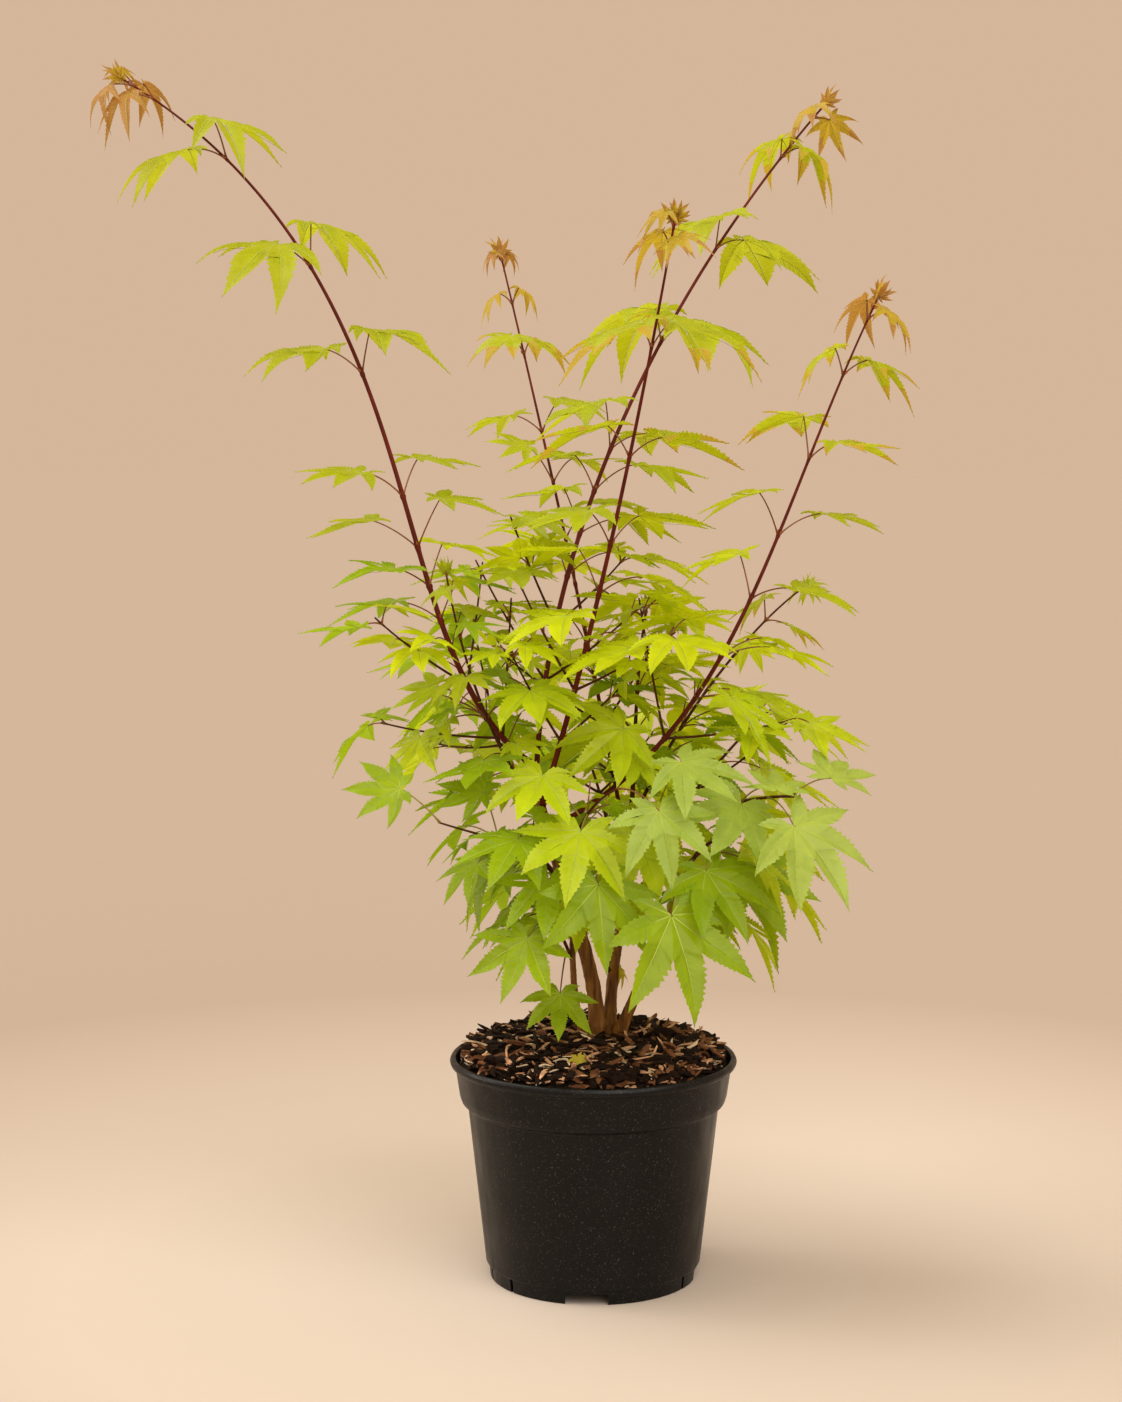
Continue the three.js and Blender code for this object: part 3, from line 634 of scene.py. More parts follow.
def blade(leaf, draw):
    """The halves of a blade's lobes as grids of points, and its ribs."""
    z = leaf["base"][2]
    upper = rise(z, UPPER)
    middle = rise(z, MIDDLE) * (1 - upper)
    grown = leaf["age"] > GROWN
    length = leaf["length"] * (1 + UPPER_SIZE * upper * grown - MIDDLE_SIZE * middle)
    fold = FOLD + FOLD_MORE * draw() + FOLD_YOUNG * (1 - leaf["age"])
    soft = mix((SOFT_LOW, 1), upper)
    droop = leaf["droop"] * (soft + DROOP_MORE * draw())
    full = mix((YOUNG_WIDTH, 1), leaf["age"]) * (1 + UPPER_WIDTH * upper)
    normal, forward = leaf["normal"], leaf["forward"]
    if leaf["faces"]:
        normal = normal - [0, FACE_ROLL, 0]
        normal = unit(normal - forward * normal.dot(forward))
    else:
        outward = unit(leaf["base"] * [1, 1, 0] + [0, 0.01, 0])
        tilt = TILT * draw() * (1 - rise(z, LEVEL))
        if draw() < TURNED_SHARE and z < TURNED_HEIGHT:
            tilt += TURNED
        normal = unit(normal + outward * tilt + [0, 0, UPRIGHT * draw()])
        forward = unit(forward - normal * normal.dot(forward))
    across = np.cross(normal, forward)
    wave, phase = WAVE * draw(), ABOUT_A_TURN * draw()
    grids, ribs = [], []

    def place(along, out, lift):
        """Points of the arched blade from flat places."""
        reach2 = along**2 + out**2
        turn = np.arctan2(out, along)
        lift = lift - droop * reach2 + wave * np.sin(3 * turn + phase) * reach2
        flat = along[..., None] * forward + out[..., None] * across
        return leaf["base"] + length * (flat + lift[..., None] * normal)

    def bent(along):
        """How far past the notch, the turn there, and the midrib's lift."""
        past = np.clip((along - foot) / (reach - foot), 0, 1)
        return past, radians(angle) + sweep * past**2, (pitch * past - sag * past**3) * reach

    for i, lobe in enumerate(LOBES):
        angle = lobe["angle"] + LOBE["turn"] * (draw() - 0.5)
        reach = lobe["length"] * (1 - LOBE["shorter"] * draw())
        sweep = radians(LOBE["sweep"] * (draw() - 0.5) - lobe["angle"] * LOBE["trail"])
        sag = (LOBE["sag"] * draw() - LOBE["lift"]) * soft
        pitch = LOBE["pitch"] * (draw() - 0.5)
        twist = LOBE["twist"] * (draw() - 0.5)
        teeth = max(FEWEST_TEETH, round(TEETH * lobe["length"]))
        for side, (notch_angle, notch) in ((-1, NOTCHES[i]), (1, NOTCHES[i + 1])):
            bend = radians(abs(notch_angle - angle))
            along, width, foot, pleat = half_lobe(reach, notch, bend, teeth, full, draw)
            past, turn, line = bent(along)
            rows = np.where(along < foot, along / cos(bend), width / sin(bend))
            out = side * width[:, None] * COLUMNS
            lift = fold * NEXT_ROW * rows[:, None] * FOLD_SHAPE + line[:, None]
            lift = lift + pleat[:, None] * PLEAT_SHAPE + twist * past[:, None] * out
            run = along[:, None] - LAG * width[:, None] * (1 - COLUMNS)
            grids.append((place(*turned(run, out, turn), lift), side, past))
        along = reach * np.linspace(*RIB_REACH, RIB_ROWS)
        _, turn, line = bent(along)
        half = RIB * (1 - RIB_TAPER * along / reach)[:, None] * [-1, 0, 1]
        lift = RIB_LIFT + fold * 0.5 * abs(half) + line[:, None]
        ribs.append(place(*turned(along[:, None], half, turn), lift))
    return grids, ribs


def turned(run, out, turn):
    """Flat places along and out from a lobe's line, in the leaf's directions."""
    c, s = np.cos(turn)[:, None], np.sin(turn)[:, None]
    return run * c - out * s, run * s + out * c


def add_grid(heap, grid, flip):
    """Joins a grid of points to a heap, as two triangles a cell."""
    rows, columns = grid.shape[:2]
    a = (np.arange(rows - 1)[:, None] * columns + np.arange(columns - 1)).ravel()
    b, c, d = a + columns, a + columns + 1, a + 1
    faces = np.vstack([np.c_[a, b, c], np.c_[a, c, d]])
    heap.add(grid.reshape(-1, 3), faces[:, ::-1] if flip else faces)


# Where the leaves' colours change, at which ages, and for what share of leaves.
HEIGHT = dict(tips=560, gilt=520, yellow=500, left=480, fresh=400, shade=340, face=300, low=260)
SIDE = dict(right=92, face=35, middle=-8, left=-45, outer=-60, front=-60)
AGE = dict(bronze=0.24, gold=0.5, gilt=0.85, young=0.4)
SHARE = dict(bronze=0.5, gilt=0.4, yellow=0.18, fresh_left=0.65, shade=0.75, left=0.7, rest=0.16)
GILT = ("shoot_centre", "shoot_right")  # shoots whose yellow leaves have gold tips


def tint(mass, leaf, draw):
    """The colours of a leaf's blade and of its tips, by its age and place."""
    height, age = leaf["base"][2], leaf["age"]
    if height > HEIGHT["tips"] and age < AGE["gilt"]:
        if age < AGE["bronze"]:
            return ("bronze" if draw() < SHARE["bronze"] else "gold"), "bronze"
        return ("gold" if age < AGE["gold"] else "yellow"), "gold"
    if age < AGE["young"]:
        return "yellow", ("gold" if draw() < SHARE["gilt"] else "yellow")
    if mass["name"] in GILT and height > HEIGHT["gilt"]:
        return "yellow", "gold"
    body = "yellow" if height > HEIGHT["yellow"] else low_tint(leaf, draw)
    return body, body


def low_tint(leaf, draw):
    """The colour of a low leaf, greener on the left and in the shade: the darker green there is
    partly the leaf's own colour and partly painted shade.
    """
    x, y, z = leaf["base"]
    left = x < SIDE["left"]
    # Above this height most leaves take the bright middle colour: partly their own yellow-green,
    # partly painted light for the shaded middle of the crown.
    if z > HEIGHT["fresh"]:
        share = draw()
        if share < SHARE["yellow"]:
            return "yellow"
        return "green" if share < SHARE["fresh_left"] and left and z < HEIGHT["left"] else "fresh"
    if x > SIDE["right"] and y < SIDE["front"]:
        return "sage"
    if leaf["faces"] and z < HEIGHT["face"]:
        return "green"
    if leaf["faces"] and x > SIDE["face"] and z > HEIGHT["face"]:
        return "sage"
    # Low down and on the low left, most leaves take the darker green, which is partly painted
    # shade.
    if x < SIDE["middle"] and z < HEIGHT["shade"] or z < HEIGHT["low"]:
        share = 1 if x < SIDE["outer"] else SHARE["shade"]
    else:
        share = SHARE["left"] if left else SHARE["rest"]
    return "green" if draw() < share else "lime"


# Leaves that unfold at a tip. Each blade has its roll and length.
UNFOLDING = dict(part=0.22, stalk=3, blades=((0, 15), (70, 13), (140, 11)), droop=-0.05, age=0.1)


def unfolding(curve, turn):
    """The folded leaves that still stand at a shoot's tip."""
    tip, look = curve.point(1), UNFOLDING
    for side, (roll, length) in enumerate(look["blades"]):
        out = unit(curve.tangent(1) + look["part"] * heading(turn + 120 * side, 0))
        compass, climb = degrees(atan2(out[1], out[0])), degrees(asin(out[2]))
        base = tip + look["stalk"] * out
        yield leaf_place(tip, base, compass, -climb, roll, length, look["droop"], look["age"])


# A finished stem: its rings' step, its sides, its share of the source's width, and its swellings.
STEM = dict(step=2.4, sides=10, slim=0.87, node=0.38, node_length=1.5, foot=0.45, foot_length=4)
STEM_SUNK = 2  # its foot reaches this far into the limb
BUD_REACH, BUD_RADII = (0, 0.9, 1.9, 2.8, 3.5), [0.4, 0.75, 0.7, 0.4, 0.06]
BUD_PART, BUD_TURN, BUD_SUNK = 30, 40, 0.8  # its angle off the stem, its turn a millimetre
BARE_PAIRS = 2  # the first pairs of a shoot have no buds
STALK_ARCH, STALK_RADII, STALK_FOOT, STALK_STEPS = (0.05, 0.06), [1.0, 0.58, 0.44], 3, 8
FINE_SIDES = 6  # of stalks and buds
RED_SHOOT, RED_STALK, RED_SHARE = 600, 330, 0.3  # the heights and the share of red ones
TIP_FROM, TIP_SPAN = 0.3, 0.4  # where on a lobe the colour of its tip starts


def stem_radii(axis, reached):
    """A finished stem's radius at distances from its foot."""
    radii = STEM["slim"] * mix(axis["radii"], reached / axis["curve"].whole)
    for node in axis["pairs"]:
        bump = np.exp(-(((reached - node) / STEM["node_length"]) ** 2))
        radii = radii * (1 + STEM["node"] * bump)
    return radii * (1 + STEM["foot"] * np.exp(-reached / STEM["foot_length"]))


def buds(axis):
    """The pairs of small buds along a young shoot."""
    curve = axis["curve"]
    for node in axis["pairs"][BARE_PAIRS:]:
        share = node / curve.whole
        for side in (0, 1):
            turn = axis["turn"] + 180 * side + BUD_TURN * node
            way = off_stem(curve.tangent(share), turn, BUD_PART)
            foot = curve.point(share) + way * mix(axis["radii"], share) * BUD_SUNK
            yield pipe([foot + way * reach for reach in BUD_REACH], BUD_RADII, FINE_SIDES)


def stalk_of(leaf, draw):
    """A leaf's arched stalk."""
    start, end = np.asarray(leaf["start"], float), leaf["base"]
    reach = np.linalg.norm(end - start)
    t = np.linspace(0, 1, STALK_STEPS)[:, None]
    lift = reach * (STALK_ARCH[0] + STALK_ARCH[1] * draw())
    points = start * (1 - t) + end * t + np.array([0, 0, lift]) * 4 * t * (1 - t)
    reached = np.linspace(0, reach, STALK_STEPS)
    return pipe(points, np.interp(reached, [0, STALK_FOOT, reach], STALK_RADII), FINE_SIDES)


def grow():
    """All of the plant above its boughs, as heaps of points by kind."""
    heaps = defaultdict(Heap)
    for row, mass in enumerate(crown()):
        for axis in mass["axes"]:
            curve, top = axis["curve"], axis is mass["axes"][0] and axis["young"]
            reached = np.linspace(0, curve.whole, ceil(curve.whole / STEM["step"]) + 1)
            points = curve.point(reached / curve.whole)
            points[0] -= STEM_SUNK * curve.tangent(0)
            kind = "shoot_red" if top and points[-1][2] > RED_SHOOT else "shoot_brown"
            heaps[kind].add(*pipe(points, stem_radii(axis, reached), STEM["sides"]))
            if top:
                for bud in buds(axis):
                    heaps["buds"].add(*bud)
                mass["leaves"] += unfolding(curve, axis["turn"])
        for number, leaf in enumerate(mass["leaves"]):
            draw = draws(LEAF_SEED, row, number)
            body, tip = tint(mass, leaf, draw)
            grids, ribs = blade(leaf, draw)
            for grid, side, past in grids:
                split = len(grid) - 1
                if tip != body:
                    split = int(np.searchsorted(past, TIP_FROM + TIP_SPAN * draw()))
                add_grid(heaps["leaf_" + body], grid[: split + 1], side < 0)
                if tip != body:
                    add_grid(heaps["leaf_" + tip], grid[split:], side < 0)
            for rib in ribs:
                add_grid(heaps["ribs"], rib, False)
            stalk = stalk_of(leaf, draw)
            red = leaf["start"][2] > RED_STALK or draw() < RED_SHARE
            heaps["stalk_red" if red else "stalk_green"].add(*stalk)
    return heaps


# ---- Materials ----
class Finish:
    """A material around one Principled shader, placed in the piece's own space."""

    def __init__(self, name, roughness=0.5, specular=0.5):
        self.material = bpy.data.materials.new(name)
        self.material.use_nodes = True
        self.tree = self.material.node_tree
        self.shader = self.tree.nodes["Principled BSDF"]
        self.shader.inputs["Roughness"].default_value = roughness
        self.shader.inputs["Specular IOR Level"].default_value = specular
        self.place = self.node("TexCoord").outputs["Object"]

    def node(self, kind, inputs=(), **settings):
        """A new node. Its inputs are sockets to link or values to set."""
        made = self.tree.nodes.new("ShaderNode" + kind)
        for key, value in settings.items():
            setattr(made, key, value)
        for key, value in dict(inputs).items():
            if isinstance(value, bpy.types.NodeSocket):
                self.tree.links.new(value, made.inputs[key])
            else:
                made.inputs[key].default_value = value
        return made

    def drive(self, name, value):
        self.tree.links.new(value, self.shader.inputs[name])

    def noise(self, scale, detail, stretch=(1, 1, 1)):
        placed = self.node("Mapping", {"Vector": self.place, "Scale": stretch})
        settings = {"Vector": placed.outputs["Vector"], "Scale": scale, "Detail": detail}
        return self.node("TexNoise", settings).outputs["Fac"]

    def ramp(self, value, stops):
        made = self.node("ValToRGB", {"Fac": value})
        elements = made.color_ramp.elements
        while len(elements) < len(stops):
            elements.new(0.5)
        for element, (position, colour) in zip(elements, stops):
            element.position = position
            element.color = (*colour, 1)
        return made.outputs["Color"]

    def bump(self, height, strength, distance):
        settings = {"Height": height, "Strength": strength, "Distance": distance}
        self.drive("Normal", self.node("Bump", settings).outputs["Normal"])

    def mottle(self, value, colour, dark, light, edge=0.3):
        """Colours the surface from a darker to a lighter shade of one colour."""
        low, high = (tuple(min(1, c * shade) for c in colour) for shade in (dark, light))
        self.drive("Base Color", self.ramp(value, [(edge, low), (1 - edge, high)]))


def leaf_finish(name, colour, glow):
    """A thin leaf: softly mottled, with light coming through it."""
    made = Finish(name, 0.42, 0.36)
    made.mottle(made.noise(55, 4), colour, 0.85, 1.12, edge=0.32)
    made.bump(made.noise(160, 2), 0.07, 0.0003)
    through = made.node("BsdfTranslucent", {"Color": (*glow, 1)}).outputs["BSDF"]
    both = {"Fac": THROUGH, 1: made.shader.outputs["BSDF"], 2: through}
    surface = made.node("MixShader", both).outputs["Shader"]
    made.tree.links.new(surface, made.tree.nodes["Material Output"].inputs["Surface"])
    return made.material


def plain_finish(name, colour, dark=0.7, light=1.25, scale=120, stretch=(1, 1, 1), bump=0.3,
                 depth=0.0003, **gloss):
    """A mottled surface with fine grain."""
    made = Finish(name, **gloss)
    made.mottle(made.noise(scale, 5, stretch), colour, dark, light)
    made.bump(made.noise(scale * 5, 4, stretch), bump, depth)
    return made.material


THROUGH = 0.45  # the share of the light that comes through a leaf
# Each leaf colour, and the colour of the light that comes through.
LEAF_COLOURS = {
    "leaf_yellow": ((0.38, 0.45, 0.01), (0.74, 0.8, 0.015)),
    # The middle crown's leaves are the brightest: partly their own yellow-green, partly painted
    # light that lifts the shade of the crown above.
    "leaf_fresh": ((0.64, 0.75, 0.008), (0.88, 0.95, 0.012)),
    "leaf_lime": ((0.52, 0.64, 0.009), (0.8, 0.92, 0.015)),
    # The green of the low and left leaves is darker, partly as painted shade.
    "leaf_green": ((0.27, 0.4, 0.004), (0.54, 0.75, 0.01)),
    "leaf_sage": ((0.4, 0.53, 0.09), (0.6, 0.77, 0.075)),
    "leaf_gold": ((0.5, 0.37, 0.035), (0.8, 0.6, 0.045)),
    "leaf_bronze": ((0.44, 0.25, 0.06), (0.7, 0.38, 0.07)),
}
DULL, WAXY = dict(roughness=0.85, specular=0.12), dict(specular=0.14)
GRAIN = dict(scale=150, stretch=(1, 1, 0.2))
WOOD = {
    "shoot_red": dict(colour=(0.12, 0.013, 0.008), **GRAIN, **WAXY),
    "shoot_brown": dict(colour=(0.075, 0.02, 0.006), **GRAIN, **WAXY),
    "stalk_red": dict(colour=(0.2, 0.06, 0.018), scale=90, roughness=0.45),
    "stalk_green": dict(colour=(0.26, 0.22, 0.03), scale=90, roughness=0.45),
    "buds": dict(colour=(0.32, 0.08, 0.02), scale=300, roughness=0.4),
    "ribs": dict(colour=(0.36, 0.46, 0.05), dark=0.85, light=1.1, scale=80),
}


# ---- Stems, pot and mulch ----
BARK_RINGS, BARK_SIDES, BARK_SUNK = 60, 24, 5
FLARE = 1.5  # a stem's foot is this much wider at the mulch
SCAR = dict(every=27, first=13, length=1.6, height=0.09)  # the old leaf scars round a stem
SKIN_STEP, SKIN_SMOOTHING = 0.55, 3  # the bark's mesh
FURROW, WART = Vector((900, 900, 90)), Vector((500, 500, 420))  # how fine they are, a metre
FURROW_DEPTH, WART_HEIGHT, WART_START, WART_SHIFT = 0.22, 0.9, 0.35, Vector((0, 0, 40))


def bark_mesh():
    """Foot and boughs in one skin, with shallow furrows and old leaf scars."""
    heap = Heap()
    for bough in BOUGHS.values():
        curve = Curve(bough["path"])
        shares = np.linspace(0, 1, BARK_RINGS)
        flare = FLARE - (FLARE - 1) * np.sqrt(np.minimum(1, shares / bough["foot"]))
        past_scar = (shares * curve.whole) % SCAR["every"] - SCAR["first"]
        rings = 1 + SCAR["height"] * np.exp(-((past_scar / SCAR["length"]) ** 2))
        points = curve.point(shares)
        points[0, 2] -= BARK_SUNK
        heap.add(*pipe(points, mix(bough["radii"], shares) * flare * rings, BARK_SIDES))
    raw = added("bark_raw", heap.mesh("bark_raw"))
    skin = raw.modifiers.new("skin", "REMESH")
    skin.mode = "VOXEL"
    skin.voxel_size = SKIN_STEP * MM
    raw.modifiers.new("even", "SMOOTH").iterations = SKIN_SMOOTHING
    mesh = evaluated(raw)
    relief = []
    for vertex in mesh.vertices:
        wart = max(0, noise.noise(vertex.co * WART + WART_SHIFT) - WART_START)
        relief.append(FURROW_DEPTH * noise.noise(vertex.co * FURROW) + WART_HEIGHT * wart)
    points = np.array([v.co for v in mesh.vertices])
    points += np.array([v.normal for v in mesh.vertices]) * np.array(relief)[:, None] * MM
    mesh.vertices.foreach_set("co", points.ravel())
    mesh.update()
    return mesh


def bark_finish():
    made = Finish("bark", 0.62, 0.3)
    shades = [(0.3, (0.055, 0.017, 0.004)), (0.5, (0.2, 0.075, 0.012)), (0.72, (0.38, 0.19, 0.035))]
    made.drive("Base Color", made.ramp(made.noise(260, 6, (1, 1, 0.12)), shades))
    made.bump(made.noise(900, 5, (1, 1, 0.15)), 0.4, 0.0004)
    return made.material


# The pot's outline as radius and height, from the middle of its floor round to the inside.
POT_PROFILE = [
    [0, 0], [14, 0], [15, 7.4], [65.9, 7.4], [66.3, 0], [68.5, 0], [69.5, 9.4], [71.2, 10.2],
    [83, 115.4], [87, 118], [88.4, 122.4], [91.2, 141.4], [94, 142.2], [95, 145], [93.4, 148],
    [90.8, 147.4], [89.6, 141.4], [86.8, 122.4], [85.4, 119.6], [81.4, 117], [69.6, 10.2], [0, 10],
]
POT_STEPS, CORNER, CORNER_STEPS = 192, 1.1, 4
POT_CREASE = 38  # degrees
# The wide notches and the narrow slots in the skirt: width, height and turn.
SLOTS = [(28, 7, -3.5 + 90 * i) for i in range(4)]
SLOTS += [(2.6, 9, turn) for turn in (-74, -50, 58, 106, 130, 238)]
SLOT_DEPTH, SLOT_REACH = 12, 68.5
BOX_SIDES = ((0, 1, 3, 2), (4, 6, 7, 5), (0, 4, 5, 1), (2, 3, 7, 6), (0, 2, 6, 4), (1, 5, 7, 3))


def rounded(profile, radius, steps):
    """The profile with each corner turned into a short arc."""
    profile = np.array(profile, float)
    points = [profile[0]]
    for before, corner, after in zip(profile, profile[1:], profile[2:]):
        into, out = before - corner, after - corner
        reach = min(radius, 0.42 * np.linalg.norm(into), 0.42 * np.linalg.norm(out))
        a, b = corner + unit(into) * reach, corner + unit(out) * reach
        for t in np.linspace(0, 1, steps):
            points.append(a * (1 - t) ** 2 + 2 * corner * t * (1 - t) + b * t * t)
    return np.array([*points, profile[-1]])


def lathe(profile, steps):
    """A closed turned body whose profile starts and ends on the axis."""
    k = np.arange(steps)
    after, turns = (k + 1) % steps, k * 2 * pi / steps
    circle = np.c_[np.cos(turns), np.sin(turns), 0 * k]
    rings = [r * circle + [0, 0, z] for r, z in profile[1:-1]]
    points = np.vstack([[[0, 0, profile[0][1]]], *rings, [[0, 0, profile[-1][1]]]])
    end, last = len(points) - 1, 1 + (len(rings) - 1) * steps
    caps = [np.c_[0 * k, 1 + after, 1 + k], np.c_[0 * k + end, last + k, last + after]]
    return points, np.vstack(caps + banded(len(rings), steps, 1))


def box(width, depth, height, turn, reach):
    """A box centred at a reach from the axis, towards -Y, and then turned."""
    corners = np.array([[x, y, z] for x in (-1, 1) for y in (-1, 1) for z in (-1, 1)], float)
    corners = corners * [width / 2, depth / 2, height] + [0, -reach, 0]
    faces = [face for a, b, c, d in BOX_SIDES for face in ((a, b, c), (a, c, d))]
    return rotated(corners, 0, 0, radians(turn)), faces


def pot_mesh():
    """The pot's smooth wall with its notches and slots cut through the skirt."""
    wall, cuts = Heap(), Heap()
    wall.add(*lathe(rounded(POT_PROFILE, CORNER, CORNER_STEPS), POT_STEPS))
    for width, height, turn in SLOTS:
        cuts.add(*box(width, SLOT_DEPTH, height, turn, SLOT_REACH))
    body, tool = added("pot_raw", wall.mesh("pot_raw")), added("pot_cuts", cuts.mesh("pot_cuts"))
    cut = body.modifiers.new("cut", "BOOLEAN")
    cut.operation, cut.solver, cut.object = "DIFFERENCE", "EXACT", tool
    mesh = evaluated(body)
    bpy.data.objects.remove(tool)
    mesh.set_sharp_from_angle(angle=radians(POT_CREASE))
    return mesh


def pot_finish():
    """Black plastic with flecks of dust and an uneven gloss."""
    made = Finish("pot", specular=0.21)
    fleck = made.ramp(made.noise(900, 2), [(0.63, (0, 0, 0)), (0.7, (1, 1, 1))])
    shades = [(0.3, (0.0008, 0.0008, 0.0008)), (0.7, (0.003, 0.0028, 0.0027))]
    dust = {"Factor": fleck, 6: made.ramp(made.noise(38, 6), shades), 7: (0.05, 0.046, 0.043, 1)}
    made.drive("Base Color", made.node("Mix", dust, data_type="RGBA").outputs[2])
    gloss = [(0.3, (0.3, 0.3, 0.3)), (0.72, (0.5, 0.5, 0.5))]
    made.drive("Roughness", made.ramp(made.noise(90, 5, (1, 1, 0.3)), gloss))
    made.bump(made.noise(1400, 3), 0.18, 0.0002)
    return made.material


# Bark chips: rise is how high they may lie on the heap, and bend is a share of their length.
CHIP_KEYS = ("count", "long", "wide", "thick", "rise", "bend", "colour")
CHIPS = {
    # The darkest chips are near black: dark bark, and partly painted shade for the gaps between the
    # chips.
    "chips_dark": (1200, (11, 30), (2.6, 7.5), (1.4, 4), 6, 0.12, (0.013, 0.006, 0.003)),
    "chips_brown": (600, (11, 30), (1.8, 5.5), (1, 2.8), 6, 0.16, (0.15, 0.062, 0.026)),
    "chips_rust": (420, (10, 28), (1.2, 3.6), (0.7, 1.8), 6.5, 0.2, (0.54, 0.3, 0.17)),
    "chips_pale": (260, (9, 24), (0.8, 2.2), (0.5, 1.2), 7, 0.24, (0.72, 0.52, 0.35)),
}
# Where a chip's rings of points lie on its length, and their share of its width.
CHIP_RINGS = ((-0.5, 0.3), (-0.36, 0.8), (-0.15, 1), (0.1, 0.95), (0.32, 0.85), (0.5, 0.25))
CHIP_CORNERS = ((-1, -1), (1, -1), (1, 1), (-1, 1))
JOG, RAGGED, UNEVEN_WIDE, UNEVEN_THICK = 0.1, 0.06, (0.75, 1.25), (0.6, 1.4)
SMALL_MORE, LOW_MORE = 1.4, 1.5  # powers that favour small chips and low places
CHIP_REACH, CHIP_LIMIT = 85.5, 88.2  # from the axis to a chip's middle, and to its far end
CHIP_LIFT, CHIP_GAP = 1.2, 1.5  # above the heap and away from the stems
LEAN, STEEP, STEEP_SHARE = 0.3, 0.75, 0.22  # radians, and the share of the steep ones


def chip(draw, kind):
    """One broken piece of bark: a bent slab with ragged ends."""
    long, wide, thick = (mix(kind[key], draw() ** SMALL_MORE) for key in ("long", "wide", "thick"))
    bow, curl = (kind["bend"] * long * (2 * draw() - 1) for _ in range(2))
    rows = []
    for t, share in CHIP_RINGS:
        jog, arch = JOG * wide * (2 * draw() - 1), 0.25 - t * t
        for y, z in CHIP_CORNERS:
            x = long * (t + RAGGED * (draw() - 0.5))
            y = wide / 2 * y * share * mix(UNEVEN_WIDE, draw()) + bow * arch * 4 + jog
            z = thick / 2 * z * mix((0.4, 1), share) * mix(UNEVEN_THICK, draw()) + curl * arch * 2
            rows.append([x, y, z])
    end = len(rows) - 4
    caps = np.array([(0, 2, 1), (0, 3, 2), (end, end + 1, end + 2), (end, end + 2, end + 3)])
    return np.array(rows), np.vstack([caps, *banded(len(CHIP_RINGS), 4)])


def mulch_chips():
    """Chips lying every way over the heap, none in a stem or through the rim."""
    feet = [(b["path"][0][:2], FLARE * b["radii"][0] + CHIP_GAP) for b in BOUGHS.values()]
    heaps = defaultdict(Heap)
    for number, (name, row) in enumerate(CHIPS.items()):
        kind, draw = dict(zip(CHIP_KEYS, row)), draws(CHIP_SEED + number)
        for _ in range(kind["count"]):
            points, faces = chip(draw, kind)
            reach, turn = CHIP_REACH * sqrt(draw()), 2 * pi * draw()
            x, y = reach * cos(turn), reach * sin(turn)
            lean = STEEP if draw() < STEEP_SHARE else LEAN
            spin = ABOUT_A_TURN * draw()
            pitch, roll = (lean * (2 * draw() - 1) for _ in range(2))
            z = np.interp(reach, *zip(*MULCH_HEAP)) + CHIP_LIFT + kind["rise"] * draw() ** LOW_MORE
            points = rotated(points, roll, pitch, spin) + [x, y, z]
            far = np.hypot(points[:, 0], points[:, 1]).max()
            if far > CHIP_LIMIT:
                points = points - np.array([x, y, 0]) * (far - CHIP_LIMIT) / max(reach, 1)
            middle = points.mean(0)[:2]
            if all(dist(middle, foot) >= width for foot, width in feet):
                heaps[name].add(points, faces)
    return heaps


# ---- The plant's pieces ----
# Two withered leaves, on the mulch and at the right stem: place, turn, drop, roll, length, seed.
FALLEN = [([-10, -66, 162], -60, 38, 20, 13, 61), ([17, 4, 204], -20, 62, 60, 14, 62)]
FALLEN_LOOK = dict(droop=0.5, age=0.3)

heaps = grow()
show("bark_stems", bark_mesh(), bark_finish(), ("trunk", *BOUGHS))
for name, heap in heaps.items():
    leafy = name in LEAF_COLOURS
    finish = leaf_finish(name, *LEAF_COLOURS[name]) if leafy else plain_finish(name, **WOOD[name])
    replaced = tuple(MASSES) if leafy or name.startswith("shoot") else ()
    show(name, heap.mesh(name), finish, replaced)
show("nursery_pot", pot_mesh(), pot_finish(), ("pot",))
humus = plain_finish("humus", (0.018, 0.011, 0.007), scale=200, bump=1, depth=0.002, **DULL)
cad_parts["mulch"].data.materials.clear()
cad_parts["mulch"].data.materials.append(humus)
heap = Heap()
for at, turn, drop, roll, length, seed in FALLEN:
    leaf = leaf_place(at, at, turn, drop, roll, length, **FALLEN_LOOK)
    for grid, side, _ in blade(leaf, draws(seed))[0]:
        add_grid(heap, grid, side < 0)
withered = leaf_finish("fallen", (0.6, 0.52, 0.04), (0.7, 0.6, 0.04))
show("fallen_leaves", heap.mesh("fallen_leaves"), withered)
rough = dict(dark=0.5, light=1.5, scale=160, bump=0.6, depth=0.0006, **DULL)
for name, heap in mulch_chips().items():
    finish = plain_finish(name, CHIPS[name][-1], **rough)
    show(name, heap.mesh(name, smooth=False), finish)


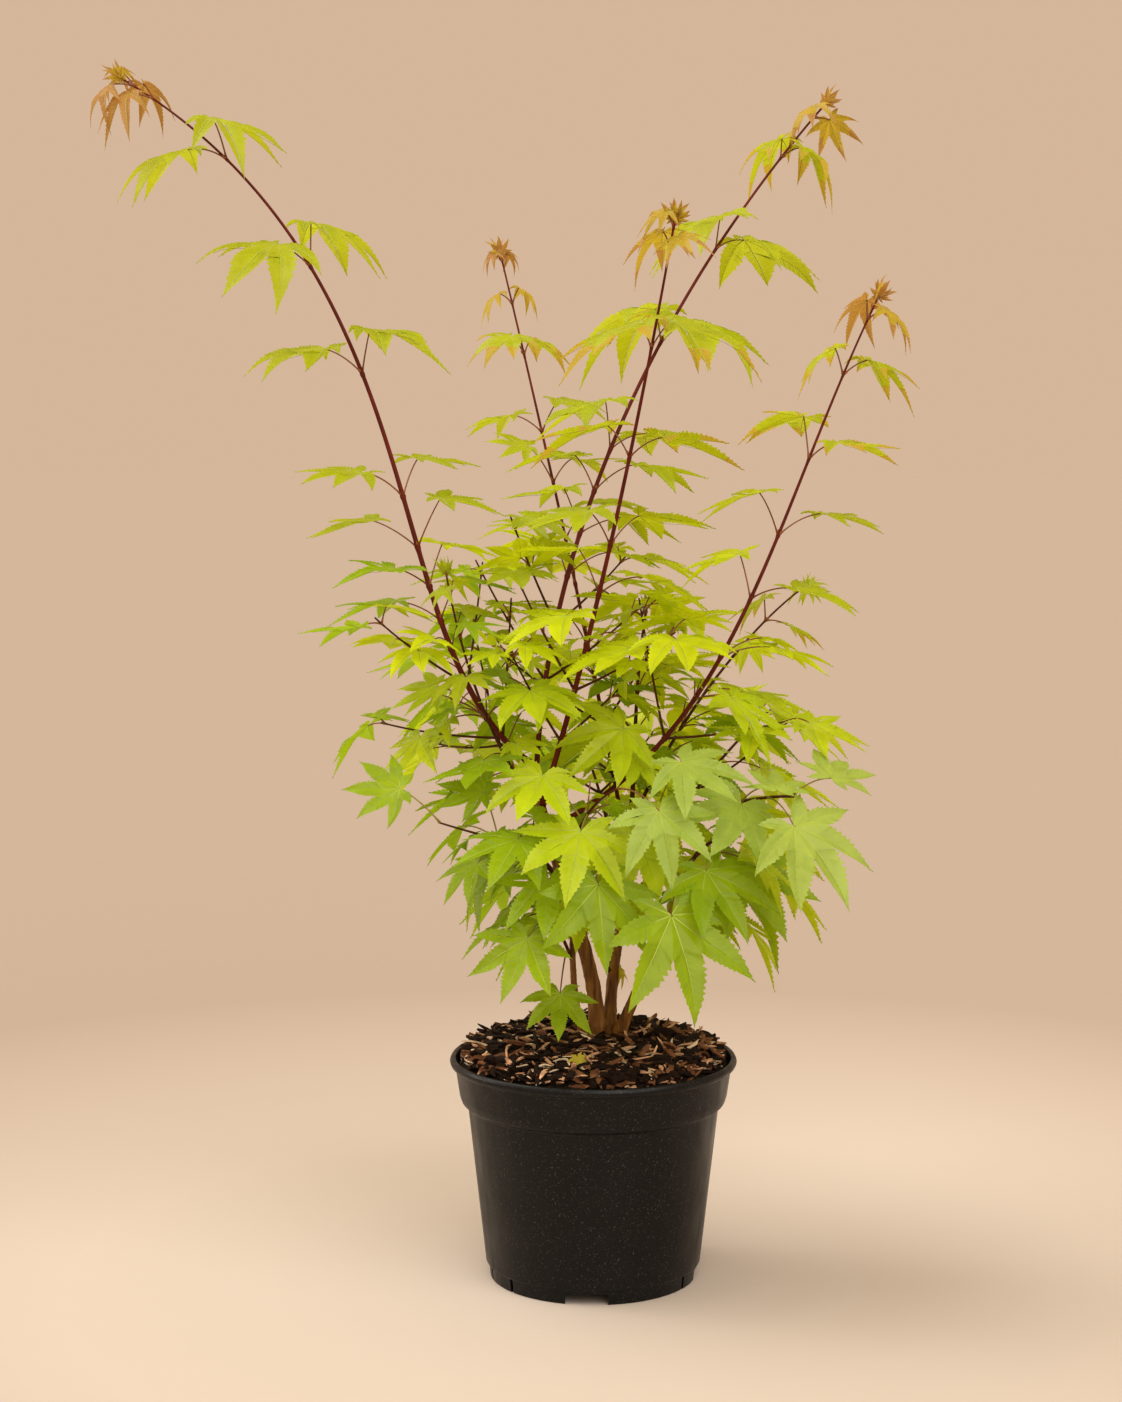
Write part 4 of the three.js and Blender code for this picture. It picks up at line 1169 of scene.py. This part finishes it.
# ---- Floor, light and camera ----
FLOOR_REACH, FLOOR_THICK, FLOOR_STEPS = 30000, 8, 96
FLOOR_NEAR, FLOOR_FAR = (0.53, 0.46, 0.385), (0.373, 0.301, 0.237)
FADE_FROM, FADE_TO = 0.35, 0.9  # metres from the plant
SKY = (0.665, 0.47, 0.325, 1)
LIGHT_AIM = Vector((0, 0, 0.35))
CAMERA_PLACE = (0, -1.7, 0.558)
CAMERA_PITCH, CAMERA_YAW = 5.88, 0.72  # degrees down and to the left
SENSOR, FRAME_HEIGHT, FOCAL_PIXELS = 36, 1402, 2618


def stage_floor():
    """A plain pale floor that darkens a little away from the plant."""
    heap = Heap()
    rim = [[0, -FLOOR_THICK], [FLOOR_REACH, -FLOOR_THICK], [FLOOR_REACH, 0], [0, 0]]
    heap.add(*lathe(rim, FLOOR_STEPS))
    piece = added("floor", heap.mesh("floor", smooth=False))
    made = Finish("floor", 1, 0)
    far = made.node("VectorMath", {0: made.place}, operation="LENGTH").outputs["Value"]
    fade = {"Value": far, "From Min": FADE_FROM, "From Max": FADE_TO}
    faded = made.node("MapRange", fade).outputs["Result"]
    made.drive("Base Color", made.ramp(faded, [(0, FLOOR_NEAR), (1, FLOOR_FAR)]))
    made.bump(made.noise(14, 6), 0.25, 0.004)
    piece.data.materials.append(made.material)


def light(name, place, power, colour, spread):
    """A far soft light, as wide as a spread in degrees."""
    lamp = bpy.data.lights.new(name, "SUN")
    lamp.energy, lamp.color, lamp.angle = power, colour, radians(spread)
    piece = added(name, lamp)
    piece.location = place
    piece.rotation_euler = (LIGHT_AIM - Vector(place)).to_track_quat("-Z", "Y").to_euler()


stage_floor()
light("key", (-0.9, 0.1, 1.9), 2.1, (1, 0.97, 0.92), 50)
light("fill", (0.7, -1.5, 1.8), 2.3, (1, 0.99, 0.98), 60)
light("edge", (-1.5, 0.4, 0.9), 0.6, (1, 0.97, 0.93), 20)
scene = bpy.context.scene
scene.world = bpy.data.worlds.new("studio")
scene.world.use_nodes = True
sky = scene.world.node_tree.nodes["Background"].inputs
sky["Color"].default_value, sky["Strength"].default_value = SKY, 1
scene.view_settings.view_transform = "Standard"

camera = bpy.data.cameras.new("camera")
camera.sensor_width, camera.lens = SENSOR, SENSOR * FOCAL_PIXELS / FRAME_HEIGHT
viewer = added("camera", camera)
viewer.location = CAMERA_PLACE
viewer.rotation_euler = (radians(90 - CAMERA_PITCH), 0, radians(CAMERA_YAW))
scene.camera = viewer
